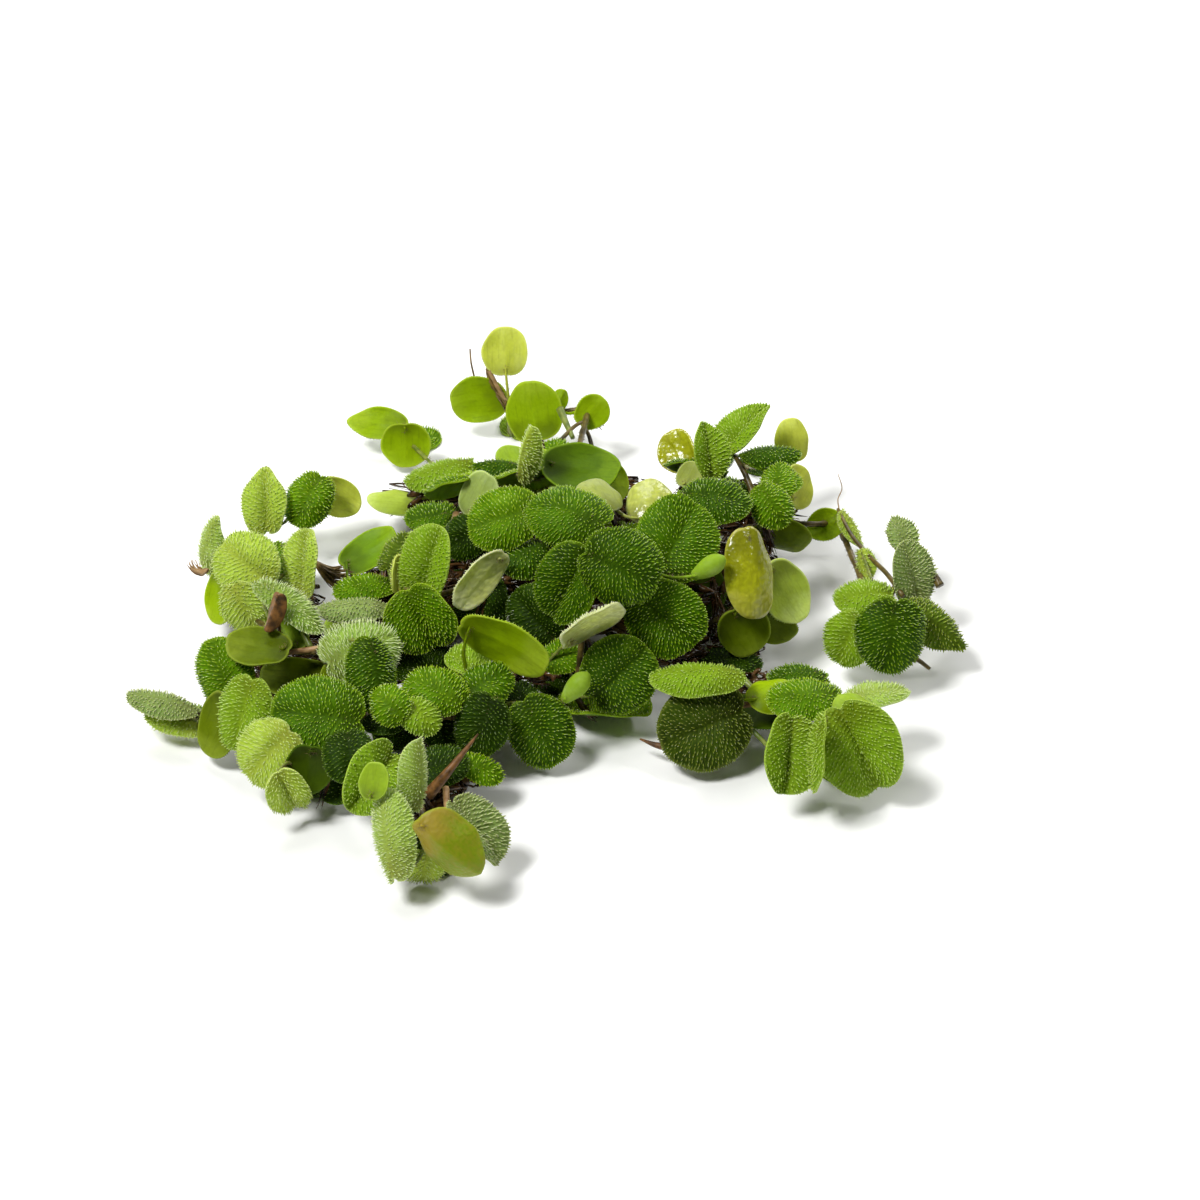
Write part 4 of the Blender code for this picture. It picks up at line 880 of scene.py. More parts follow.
@dataclass(frozen=True)
class UpperSkin:
    """Upper face of a floating leaf: living tissue with air in it, grown in low ribs.

    The eye sees a satin green in blotches, fine streaks that run with the rows and a paler rim.
    Painted shade darkens the furrows between the rows of papillae, the midrib crease, the hollow
    beside it and the side towards the stalk; the blotches are partly painted light and shade.
    """

    name: str
    tone: Tone
    depth: float = 0.45
    dusk: Triple = (0.85, 0.62, 0.8)
    cloud_size: float = 3.4
    streak_width: float = 0.16
    streak_length: float = 1.12
    # Blotches and paler patches from a cloud, partly painted light and shade
    mottle: Wash = Wash(0.22, 0.58)
    warmth: Wash = Wash(0.55, 0.80, 0.3)
    # Painted shade in the furrows between the rows of papillae
    furrow: Wash = Wash(0.1, -0.9, 0.22)
    dark_fibre: Wash = Wash(0.56, 0.36, 0.5)
    pale_fibre: Wash = Wash(0.56, 0.78, 0.4)
    # Painted shade along the midrib crease, in the hollow beside it and towards the stalk
    groove: Wash = Wash(0.30, 0.0, 0.25)
    valley: Wash = Wash(2.6, 0.1, 0.34)
    stalk_side: Wash = Wash(-0.5, -7.0, 0.6)
    rim: Wash = Wash(0.9, 1.0, 0.6)
    fibre_relief: float = 1.6
    bump_strength: float = 0.4
    bump_height: float = 0.08
    gloss: Gloss = Gloss(0.5, 1.4, 0.06, 0.3, (0.8, 1.0, 0.1))

    def material(self) -> Material:
        """The finish as a Blender material."""
        coat = Coat(self.name)
        x, y, r = coat.add(Kind.SPLIT, coat.add(Kind.LEAF_MM))
        cloud = coat.add(Kind.NOISE, coat.add(Kind.PLACE), per_mm(self.cloud_size), 3.0)
        body, pale = linear(self.tone.upper), linear(self.tone.rim)
        deep = shaded(body, (self.depth,) * 3)
        # A browner dark green for the painted shade along the midrib and towards the stalk
        dusk = shaded(deep, self.dusk)
        reach = coat.add(Kind.SIZE, x)
        slope = coat.add(Kind.TIMES, reach, ROW_SLOPE)
        bow = coat.add(Kind.TIMES, coat.add(Kind.TIMES, reach, reach), ROW_BOW)
        row = coat.add(Kind.MINUS, coat.add(Kind.MINUS, y, slope), bow)
        rib = coat.add(Kind.COSINE, coat.add(Kind.TIMES, row, 2 * math.pi / ROW_SPACING))
        along = coat.add(Kind.TIMES, x, 1 / self.streak_length)
        across = coat.add(Kind.TIMES, row, 1 / self.streak_width)
        fibre = coat.add(Kind.NOISE, coat.add(Kind.JOIN, along, across, r), 1.0, 2.0)
        green = coat.wash(deep, cloud, self.mottle, body)
        for value, wash, tint in (
            (cloud, self.warmth, pale),
            (rib, self.furrow, deep),
            (fibre, self.dark_fibre, deep),
            (fibre, self.pale_fibre, pale),
            (reach, self.groove, deep),
            (reach, self.valley, dusk),
            (y, self.stalk_side, dusk),
            (r, self.rim, pale),
        ):
            green = coat.wash(green, value, wash, tint)
        relief = coat.add(Kind.PLUS, rib, coat.add(Kind.TIMES, fibre, self.fibre_relief))
        bumps = coat.add(Kind.BUMPS, self.bump_strength, self.bump_height * MM, relief)
        coat.feed(coat.shader, {"Normal": bumps})
        return coat.finish(green, self.gloss)


@dataclass(frozen=True)
class UnderSkin:
    """Underside of a leaf: smooth and bare from a step away.

    The eye sees a yellower green than above that darkens towards the stalk, faint lengthwise
    streaks, a blistered wet gloss on old leaves and light that comes through from behind.
    """

    name: str
    tone: Tone
    heart: str = ""
    depth: float = 0.5
    cloud_size: float = 4.6
    stalk_pull: float = 0.10
    streak_width: float = 0.55
    streak_length: float = 5.0
    body: Wash = Wash(-0.05, 0.55)
    tip: Wash = Wash(0.62, 1.05, 0.45)
    streak: Wash = Wash(0.5, 0.3, 0.35)
    rim: Wash = Wash(0.90, 1.0, 0.7)
    speck: Wash = Wash(0.32, 0.6, 0.4)
    blister: float = 0.3
    cell: float = 0.5
    pit_height: float = 0.24
    gloss: Gloss = Gloss(0.42, 1.42, 0.09, 0.45, (0.9, 1.0, 0.1), 1.0)

    def material(self) -> Material:
        """The finish as a Blender material."""
        coat = Coat(self.name)
        place = coat.add(Kind.PLACE)
        x, y, r = coat.add(Kind.SPLIT, coat.add(Kind.LEAF_MM))
        cloud = coat.add(Kind.NOISE, place, per_mm(self.cloud_size), 3.0)
        body, pale = linear(self.tone.under), linear(self.tone.rim)
        deep = linear(self.heart) if self.heart else shaded(body, (self.depth,) * 3)
        # Darker towards the stalk and paler towards the tip, in blotches
        stalk_to_tip = coat.add(Kind.PLUS, coat.add(Kind.TIMES, y, self.stalk_pull), cloud)
        along = coat.add(Kind.TIMES, x, 1 / self.streak_width)
        across = coat.add(Kind.TIMES, y, 1 / self.streak_length)
        streak = coat.add(Kind.NOISE, coat.add(Kind.JOIN, along, across), 1.0, 2.0)
        cells = coat.add(Kind.CELLS, place, per_mm(self.cell))
        speck = self.speck._replace(share=self.blister * self.speck.share)
        green = coat.wash(deep, stalk_to_tip, self.body, body)
        for value, wash, tint in (
            (stalk_to_tip, self.tip, pale),
            (streak, self.streak, deep),
            (r, self.rim, pale),
            (cells, speck, deep),
        ):
            green = coat.wash(green, value, wash, tint)
        pits = coat.add(Kind.PITS, self.blister, self.pit_height * self.cell * MM, cells)
        coat.feed(coat.shader, {"Normal": pits})
        return coat.finish(green, self.gloss)


@dataclass(frozen=True)
class PapillaSkin:
    """Papillae of the upper face: water-shedding hairs, each a stump with a waxen pale tip.

    The eye sees rows of fine whitish strokes that glint where they turn to the light. A random share of the
    pale tips is painted near white, as painted glints.
    """

    name: str
    tone: Tone
    tip: str
    stump: Wash = Wash(0.0, 0.55)
    wax: Wash = Wash(0.6, 0.95)
    waxy: Wash = Wash(0.25, 0.85)
    gloss: Gloss = Gloss(0.2, 1.5, 0.35, 0.15, (0.7, 1.0, 0.2), 0.25)

    def material(self) -> Material:
        """The finish as a Blender material."""
        coat = Coat(self.name)
        along, chance, _ = coat.add(Kind.SPLIT, coat.add(Kind.LEAF_MM))
        foot, rim, tip = (linear(c) for c in (self.tone.upper, self.tone.rim, self.tip))
        colour = coat.wash(foot, along, self.stump, rim)
        # Pale tips, near white on a random share of papillae: their own pale colour with painted glints
        tip_and_glint_share = coat.add(Kind.RAMP, along, self.wax.low, self.wax.high)
        most = coat.add(Kind.RAMP, chance, self.waxy.low, self.waxy.high)
        colour = coat.add(Kind.MIX, coat.add(Kind.TIMES, tip_and_glint_share, most), colour, tip)
        return coat.finish(colour, self.gloss)


@dataclass(frozen=True)
class StrandSkin:
    """Stalk, rhizome, root or withered tissue: fibrous plant matter, wet from the water.

    The eye sees lengthwise streaks of two browns or greens under a thin wet gloss.
    """

    name: str
    light: str
    dark: str
    streak: float = 0.5
    roughness: float = 0.35
    subsurface: float = 0.0
    patches: Wash = Wash(0.32, 0.66)
    patch_streaks: float = 4.0
    bump_strength: float = 0.6
    bump_height: float = 0.08

    def material(self) -> Material:
        """The finish as a Blender material."""
        coat = Coat(self.name)
        place = coat.add(Kind.PLACE)
        patch = coat.add(Kind.NOISE, place, per_mm(self.streak * self.patch_streaks), 4.0)
        grain = coat.add(Kind.NOISE, place, per_mm(self.streak), 2.0)
        colour = coat.wash(linear(self.dark), patch, self.patches, linear(self.light))
        bumps = coat.add(Kind.BUMPS, self.bump_strength, self.bump_height * MM, grain)
        coat.feed(coat.shader, {"Normal": bumps})
        return coat.finish(colour, Gloss(self.roughness, 1.42, subsurface=self.subsurface))


@dataclass(frozen=True)
class FloorPaint:
    """The pale matt board that the clump lies on."""

    name: str = "pale_matt_board"
    colour: str = "#f7f7f5"
    roughness: float = 0.9

    def material(self) -> Material:
        """The finish as a Blender material."""
        coat = Coat(self.name)
        coat.feed(coat.shader, {"Base Color": linear(self.colour), "Roughness": self.roughness})
        return coat.material


STRANDS = (
    StrandSkin("stalk_green", "#86923c", "#55661f", subsurface=0.15),
    StrandSkin("rhizome_tan", "#6e5e2c", "#322a10"),
    StrandSkin("stem_hair_brown", "#8f7a4c", "#5b4526", roughness=0.5),
    # Wet brown roots, their dark near black as painted shade for roots deep in the heap
    StrandSkin("root_wet_brown", "#5c4022", "#160c05", roughness=0.16),
    StrandSkin("root_dry_tan", "#a8875a", "#70502b", roughness=0.5),
    StrandSkin("root_mat_brown", "#8a7038", "#4a3a18", roughness=0.4),
    StrandSkin("withered_orange", "#82592a", "#3e2a12", streak=0.3, roughness=0.45),
    StrandSkin("spike_brown", "#7c5426", "#3c260c", streak=0.3, roughness=0.5),
)


@dataclass
class Finishes:
    """Every material of the clump, made once and shared."""

    upper: dict[Tone, Material] = field(default_factory=dict)
    under: dict[Tone, Material] = field(default_factory=dict)
    papilla: dict[Tone, Material] = field(default_factory=dict)
    strand: dict[str, Material] = field(default_factory=dict)
    bright_depth: float = 0.68

    def __post_init__(self) -> None:
        """Makes the materials."""
        for tone in Tone:
            word = tone.name.lower()
            upper = UpperSkin("leaf_upper_" + word, tone)
            if tone in BRIGHT:
                upper = replace(upper, depth=self.bright_depth)
            under = UnderSkin("leaf_underside_" + word, tone)
            if tone in GLOSSY:
                wet = under.gloss._replace(roughness=0.2, specular=0.5)
                under = replace(under, blister=0.8, cell=0.8, gloss=wet)
            if tone is Tone.TAWNY:
                damp = under.gloss._replace(specular=0.2)
                under = replace(under, heart="#94842c", cell=0.7, blister=0.7, gloss=damp)
            papilla = PapillaSkin("leaf_papillae_" + word, tone, PILES.get(tone, Pile()).tip)
            self.upper[tone] = upper.material()
            self.under[tone] = under.material()
            self.papilla[tone] = papilla.material()
        for skin in STRANDS:
            self.strand[skin.name] = skin.material()
        self.upper[Tone.WITHERED] = self.under[Tone.WITHERED] = self.strand["withered_orange"]


@dataclass
class Weave:
    """A mesh in the making: points, triangles, their material slots and the leaf_mm marks."""

    points: list[np.ndarray] = field(default_factory=list)
    triangles: list[np.ndarray] = field(default_factory=list)
    slots: list[np.ndarray] = field(default_factory=list)
    marks: list[np.ndarray] = field(default_factory=list)
    materials: list[Material] = field(default_factory=list)
    count: int = 0

    def slot_of(self, material: Material) -> int:
        """The slot number of a material, which is added if it is new."""
        if material not in self.materials:
            self.materials.append(material)
        return self.materials.index(material)

    def add(
        self,
        points: np.ndarray,
        triangles: np.ndarray,
        material: Material | np.ndarray,
        marks: np.ndarray | None = None,
    ) -> None:
        """Adds a shell.

        Args:
            points: its points in millimetres, one row each.
            triangles: its triangles as rows of point numbers.
            material: one material, or the slot number of each triangle.
            marks: three values for each point, or none.
        """
        self.points.append(points)
        self.triangles.append(triangles + self.count)
        if isinstance(material, np.ndarray):
            self.slots.append(material)
        else:
            self.slots.append(np.full(len(triangles), self.slot_of(material)))
        self.marks.append(np.zeros_like(points) if marks is None else marks)
        self.count += len(points)

    def piece(self, name: str) -> Object | None:
        """The finished piece in metres, smooth shaded, or None where nothing was added."""
        if not self.points:
            return None
        mesh = bpy.data.meshes.new(name)
        points = np.concatenate(self.points)
        points[:, 2] = np.maximum(points[:, 2], FLOOR_GAP)
        mesh.from_pydata((points * MM).tolist(), [], np.concatenate(self.triangles).tolist())
        for material in self.materials:
            mesh.materials.append(material)
        mesh.polygons.foreach_set("material_index", np.concatenate(self.slots).astype(np.int32))
        marked = mesh.attributes.new("leaf_mm", "FLOAT_VECTOR", "POINT")
        marked.data.foreach_set("vector", np.concatenate(self.marks).astype(np.float32).ravel())
        mesh.shade_smooth()
        mesh.update()
        return shown(name, mesh)


def curve_through(points: list[Vector], count: int) -> list[Vector]:
    """A smooth curve through points.

    Args:
        points: two or more points.
        count: how many points the curve gets.

    Returns:
        Evenly spaced points in the curve's own parameter.
    """
    ends = [points[0] * 2 - points[1], *points, points[-1] * 2 - points[-2]]
    path = []
    for step in range(count):
        place = step / (count - 1) * (len(points) - 1)
        span = min(int(place), len(points) - 2)
        t = place - span
        a, b, c, d = ends[span : span + 4]
        path.append(
            (
                b * 2
                + (c - a) * t
                + (a * 2 - b * 5 + c * 4 - d) * t**2
                + (b * 3 - a - c * 3 + d) * t**3
            )
            * 0.5
        )
    return path


def wall(rings: int, sides: int) -> list[tuple[int, int, int]]:
    """The triangles between rings of points that follow each other."""
    triangles = []
    for ring in range(rings - 1):
        for side in range(sides):
            here, beside = ring * sides + side, ring * sides + (side + 1) % sides
            triangles += [(here, beside, beside + sides), (here, beside + sides, here + sides)]
    return triangles


def tube(
    path: list[Vector], radii: Sequence[float], sides: int, flatten: float = 1.0
) -> tuple[np.ndarray, np.ndarray]:
    """A closed tube along a path.

    Args:
        path: its middle line.
        radii: its radius at each point.
        sides: how many sides it has.
        flatten: its thickness against its width.

    Returns:
        Points and triangles.
    """
    points, across = [], None
    for index, (point, radius) in enumerate(zip(path, radii)):
        ahead = path[min(index + 1, len(path) - 1)] - path[max(index - 1, 0)]
        ahead.normalize()
        if across is None:
            across = ahead.orthogonal().normalized()
        across = (across - ahead * across.dot(ahead)).normalized()
        other = ahead.cross(across) * flatten
        for side in range(sides):
            angle = 2 * math.pi * side / sides
            points.append(point + turned(across, other, angle) * radius)
    triangles = wall(len(path), sides)
    last, start = (len(path) - 1) * sides, len(points)
    points += [path[0], path[-1]]
    for side in range(sides):
        beside = (side + 1) % sides
        triangles += [(start, beside, side), (start + 1, last + side, last + beside)]
    return np.array(points), np.array(triangles)


def spikes(
    feet: np.ndarray,
    ways: np.ndarray,
    heights: np.ndarray,
    profile: tuple[Pair, ...],
    chance: np.ndarray,
) -> tuple[np.ndarray, np.ndarray, np.ndarray]:
    """Many three-sided tapered hairs at once.

    Args:
        feet: where each starts.
        ways: the unit direction of each.
        heights: the length of each.
        profile: height share and radius of each ring, from foot to tip.
        chance: a random number for each.

    Returns:
        Points, triangles and marks (share of height, chance, nothing).
    """
    count, sides = len(feet), 3
    tip = len(profile) * sides
    helper = np.where(np.abs(ways[:, 2:3]) < 0.8, [[0.0, 0.0, 1.0]], [[1.0, 0.0, 0.0]])
    across = np.cross(ways, helper)
    across /= np.linalg.norm(across, axis=1, keepdims=True)
    other = np.cross(ways, across)
    points = np.empty((count, tip + 1, 3))
    marks = np.zeros((count, tip + 1, 3))
    for ring, (share, radius) in enumerate(profile):
        middle = feet + ways * (heights * share)[:, None]
        for side in range(sides):
            angle = 2 * math.pi * side / sides
            points[:, ring * sides + side] = middle + turned(across, other, angle) * radius
            marks[:, ring * sides + side, 0] = max(share, 0.0)
    points[:, tip] = feet + ways * heights[:, None]
    marks[:, tip, 0] = 1.0
    marks[:, :, 1] = chance[:, None]
    one = wall(len(profile), sides)
    one += [(tip - sides + side, tip - sides + (side + 1) % sides, tip) for side in range(sides)]
    starts = np.arange(count)[:, None, None] * (tip + 1)
    triangles = (np.array(one)[None] + starts).reshape(-1, 3)
    return points.reshape(-1, 3), triangles, marks.reshape(-1, 3)


class Swell(NamedTuple):
    """A rounded rise of a rim: its height, and its middle and width in radians from a pole."""

    height: float
    middle: float
    width: float

    def rise(self, angle: np.ndarray) -> np.ndarray:
        """The rise at some angles."""
        return self.height * np.exp(-(((angle - self.middle) / self.width) ** 2))


def ripple(
    angle: np.ndarray, phases: np.ndarray, waves: tuple[tuple[float, int, int], ...]
) -> np.ndarray:
    """Waves round a rim, each given by its height, its count and the number of its phase."""
    return sum(height * np.sin(count * angle + phases[phase]) for height, count, phase in waves)


@dataclass
class Blade:
    """The true shape of one leaf: thin, notched, wavy at the rim and set with papillae.

    A wave is its height, its count round the leaf and the number of its phase. Of the other
    sizes, thickness is in millimetres, and the rest are shares of the leaf.
    """

    leaf: Leaf
    sprig: str
    spokes: int = 44
    rings: int = 9
    ring_crowding: float = 0.9
    last_ring: float = 0.985
    thickness: float = 0.42
    rim_thinning: float = 0.4
    pillow_range: Pair = (0.03, 0.09)
    flat_pillow: float = 0.008
    midrib_width: float = 0.3
    dimple: float = 0.06
    dimple_waves: Pair = (1.1, 0.9)
    droop: float = 0.5
    rim_wave: float = 0.035
    wave_limit: float = 1.1
    rim_waves: tuple[tuple[float, int, int], ...] = ((0.55, 2, 2), (0.45, 3, 3), (0.35, 6, 4))
    unevenness: tuple[tuple[float, int, int], ...] = ((0.022, 2, 7), (0.020, 3, 0), (0.012, 5, 1))
    notch: Swell = Swell(0.13, 0.0, 0.13)
    under_notch: float = 0.05
    lobes: Swell = Swell(0.03, 0.62, 0.34)
    tip_dent: Swell = Swell(0.03, 0.0, 0.22)
    point_reach: float = 0.11
    point: Swell = Swell(1.0, 0.0, 0.3)
    point_shoulder: Swell = Swell(0.7, 0.75, 0.4)
    bud_girth: float = 0.46
    bud_sides: int = 18

    def __post_init__(self) -> None:
        """Draws the leaf's own irregularities."""
        leaf = self.leaf
        draw = dice(self.sprig, leaf.name)
        self.phases = draw.uniform(0, 2 * math.pi, 8)
        self.pillow = draw.uniform(*self.pillow_range)
        if leaf.resting or leaf.under:
            self.pillow = self.flat_pillow
        if leaf.under:
            self.notch = self.notch._replace(height=self.under_notch)
        if leaf.name not in POINTED:
            self.point_reach = 0.0
        self.leaf = replace(leaf, form=TRUE_FORMS.get((self.sprig, leaf.name), leaf.form))
        self.pile = PILES.get(leaf.tone, Pile())
        self.offset = np.array(self.leaf.sheet()[2])
        self.axes = np.array([leaf.side, leaf.tip, leaf.face])
        self.half_width, self.half_length = leaf.width / 2, leaf.length / 2

    def polar(self, x: np.ndarray, y: np.ndarray) -> tuple[np.ndarray, np.ndarray]:
        """Angle and reach of points of the flat leaf, as if it were a circle of radius 1."""
        across, along = x / self.half_width, y / self.half_length
        return np.arctan2(along, across), np.hypot(across, along)

    def outline(self, angle: np.ndarray) -> np.ndarray:
        """How far the rim reaches at an angle, against a plain oval. The tip is at 90 degrees."""
        quarter, turn = math.pi / 2, 2 * math.pi
        from_base = np.abs((angle + quarter + math.pi) % turn - math.pi)
        from_tip = np.abs((angle - quarter + math.pi) % turn - math.pi)
        dent = self.tip_dent.rise(from_tip) * (not self.point_reach)
        dent -= self.point_reach * (self.point.rise(from_tip) - self.point_shoulder.rise(from_tip))
        uneven = ripple(angle, self.phases, self.unevenness)
        return 1 - self.notch.rise(from_base) + self.lobes.rise(from_base) - dent + uneven

    def wave(self, x: np.ndarray, y: np.ndarray) -> np.ndarray:
        """How far the leaf's middle surface stands off its plain bend."""
        angle, r = self.polar(x, y)
        limited = np.minimum(r, self.wave_limit)
        rim = self.rim_wave * self.leaf.width * limited**3
        rim = rim * ripple(angle, self.phases, self.rim_waves)
        across, along = self.dimple_waves
        dimples = self.dimple * np.sin(x * across + self.phases[5])
        dimples = dimples * np.sin(y * along + self.phases[6])
        from_midrib = 1 - np.exp(-((x / (self.midrib_width * self.half_width)) ** 2))
        pillow = self.pillow * self.leaf.width * np.clip(1 - r**2, 0, 1) * from_midrib
        droop = -self.droop * self.pillow * self.leaf.width * limited**4
        return rim + dimples + pillow + droop

    def shape(self, x: np.ndarray, y: np.ndarray) -> tuple[np.ndarray, np.ndarray]:
        """Points of the middle surface and its normals, in world place."""
        bend, step = self.leaf.bend, 0.03
        normal = np.cross(bend(x + step, y) - bend(x - step, y), bend(x, y + step) - bend(x, y - step))
        normal /= np.linalg.norm(normal, axis=-1, keepdims=True)
        point = bend(x, y) - self.offset + normal * self.wave(x, y)[..., None]
        return np.array(self.leaf.centre) + point @ self.axes, normal @ self.axes

    def surface(self, weave: Weave, finishes: Finishes) -> None:
        """Adds the leaf itself: a middle point and rings on both faces, and one shared rim."""
        spokes, rings = self.spokes, self.rings
        angles = np.arange(spokes) * 2 * math.pi / spokes + math.pi / 2
        shares = np.linspace(0, 1, rings + 1)[1:] ** self.ring_crowding
        shares[-1] = self.last_ring
        r = np.concatenate(([0.0], np.repeat(shares, spokes), np.ones(spokes)))
        turn = np.concatenate(([0.0], np.tile(angles, rings + 1)))
        edge = np.concatenate(([0.0], np.tile(self.outline(angles), rings + 1)))
        x, y = self.half_width * np.cos(turn) * r * edge, self.half_length * np.sin(turn) * r * edge
        middle, normals = self.shape(x, y)
        lift = normals * (self.thickness / 2 * (1 - self.rim_thinning * r**4))[:, None]
        inner, low = 1 + rings * spokes, len(middle)
        points = np.concatenate((middle + lift, (middle - lift)[:inner]))
        points[inner:low] = middle[inner:]
        outer = inner - spokes
        fan, strips, rim = [], [], []
        for side in range(spokes):
            beside = (side + 1) % spokes
            fan.append((0, 1 + side, 1 + beside))
            for first in range(1, outer, spokes):
                here, there = first + side, first + beside
                strips += [(here, here + spokes, there + spokes), (here, there + spokes, there)]
            here, there = outer + side, outer + beside
            rim_here, rim_there = inner + side, inner + beside
            rim += [(here, rim_here, rim_there), (here, rim_there, there)]
            rim += [(low + here, rim_there, rim_here), (low + here, low + there, rim_there)]
        top = np.array(fan + strips)
        triangles = np.concatenate((top, np.array(rim), top[:, ::-1] + low))
        marks = np.stack((x, y, r), axis=-1)
        slots = np.full(len(triangles), weave.slot_of(finishes.upper[self.leaf.tone]))
        slots[len(top) + len(rim) :] = weave.slot_of(finishes.under[self.leaf.tone])
        weave.add(points, triangles, slots, np.concatenate((marks, marks[:inner])))

    def bud(self, weave: Weave, finishes: Finishes) -> None:
        """Adds a leaf that is still rolled up: a plump closed cone with a blunt tip."""
        start = self.leaf.world(Vector((0, -self.half_length, 0)))
        end = self.leaf.world(Vector((0, self.half_length, 0)))
        path = [start.lerp(end, share) for share in np.linspace(0, 1, len(BUD_SWELL))]
        shell = tube(path, BUD_SWELL * self.leaf.width * self.bud_girth, self.bud_sides)
        weave.add(*shell, finishes.under[self.leaf.tone], np.zeros_like(shell[0]) + BUD_MARK)

    def papillae(self, weave: Weave, finishes: Finishes) -> None:
        """Adds the rows of papillae, which fan out from the midrib, and the fringe at the rim."""
        draw = dice(self.sprig, self.leaf.name, "papillae")
        half_width, half_length, pile = self.half_width, self.half_length, self.pile
        lowest = round(-pile.base_reach * half_length / ROW_SPACING)
        rows = np.arange(lowest, half_length / ROW_SPACING) * ROW_SPACING
        steps = np.arange(pile.first, half_width, pile.spacing)
        row, step = np.meshgrid(rows, steps, indexing="ij")
        shift = (np.arange(len(rows)) % 2)[:, None] * pile.spacing / 2
        x = (step + shift).ravel()
        y = row.ravel() + ROW_SLOPE * x + ROW_BOW * x**2
        sign = np.repeat((1.0, -1.0), len(x))
        x, y = np.tile(x, 2) * sign, np.tile(y, 2)
        x += draw.normal(0, pile.scatter[0], len(x))
        y += draw.normal(0, pile.scatter[1], len(y))
        angle, r = self.polar(x, y)
        kept = r / self.outline(angle) < pile.covered[self.leaf.under]
        x, y, sign = x[kept], y[kept], sign[kept]
        turns = np.arange(0, 2 * math.pi, pile.fringe_spacing / half_width)
        edge = self.outline(turns) * pile.fringe_place
        counts = (len(x), len(turns))
        outward = np.repeat((1.0, pile.fringe_lean), counts)
        size = np.repeat((1.0, pile.fringe_height[self.leaf.under]), counts)
        x = np.concatenate((x, half_width * np.cos(turns) * edge))
        y = np.concatenate((y, half_length * np.sin(turns) * edge))
        sign = np.concatenate((sign, np.sign(np.cos(turns) + 1e-9)))
        feet, normals = self.shape(x, y)
        reach = np.hypot(x, y) + 0.5
        out, aside, up = pile.lean
        ahead, _ = self.shape(x + out * x / reach + aside * sign, y + out * y / reach + up)
        lean = ahead - feet
        lean /= np.linalg.norm(lean, axis=1, keepdims=True)
        ways = normals + lean * outward[:, None] + draw.normal(0, pile.lean_scatter, feet.shape)
        ways /= np.linalg.norm(ways, axis=1, keepdims=True)
        heights = pile.height * size * draw.uniform(*pile.height_range, len(x))
        feet = feet + normals * (self.thickness * pile.rooted)
        profile = ((-pile.sunk, pile.foot), (pile.neck_place, pile.neck))
        chance = draw.uniform(0, 1, len(x))
        points, triangles, marks = spikes(feet, ways, heights, profile, chance)
        weave.add(points, triangles, finishes.papilla[self.leaf.tone], marks)


class Tuft(NamedTuple):
    """How the strands of a tuft hang: lengths and thinning are shares, the rest is in mm."""

    lengths: Pair = (0.55, 1.15)
    foot: float = 0.35
    sway: float = 0.4
    turns: Pair = (5, 6)
    sag: float = 1.2
    lowest: float = 0.25
    thin: Pair = (0.10, 0.22)
    thick: Pair = (0.25, 0.45)
    thinning: float = 0.4
    flatness: float = 0.4


class Tangle(NamedTuple):
    """How a tangle of roots lies: its spread and lengths are shares, the rest is in mm."""

    spread: Pair = (0.3, 1.0)
    lengths: Pair = (0.35, 0.6)
    lowest: float = 0.6
    thin: Pair = (0.12, 0.3)
    thick: Pair = (0.4, 0.9)
    flatness: float = 0.45


TUFT = Tuft()
TANGLE = Tangle()


def arc(start: Vector, end: Vector, sag: float, count: int) -> list[Vector]:
    """Points from start to end along a shallow arc that hangs by sag, never below ground."""
    path = []
    for step in range(count):
        share = step / (count - 1)
        point = start.lerp(end, share)
        point.z = max(point.z - 4 * sag * share * (1 - share), RHIZOME_RADIUS + CLEARANCE)
        path.append(point)
    return path


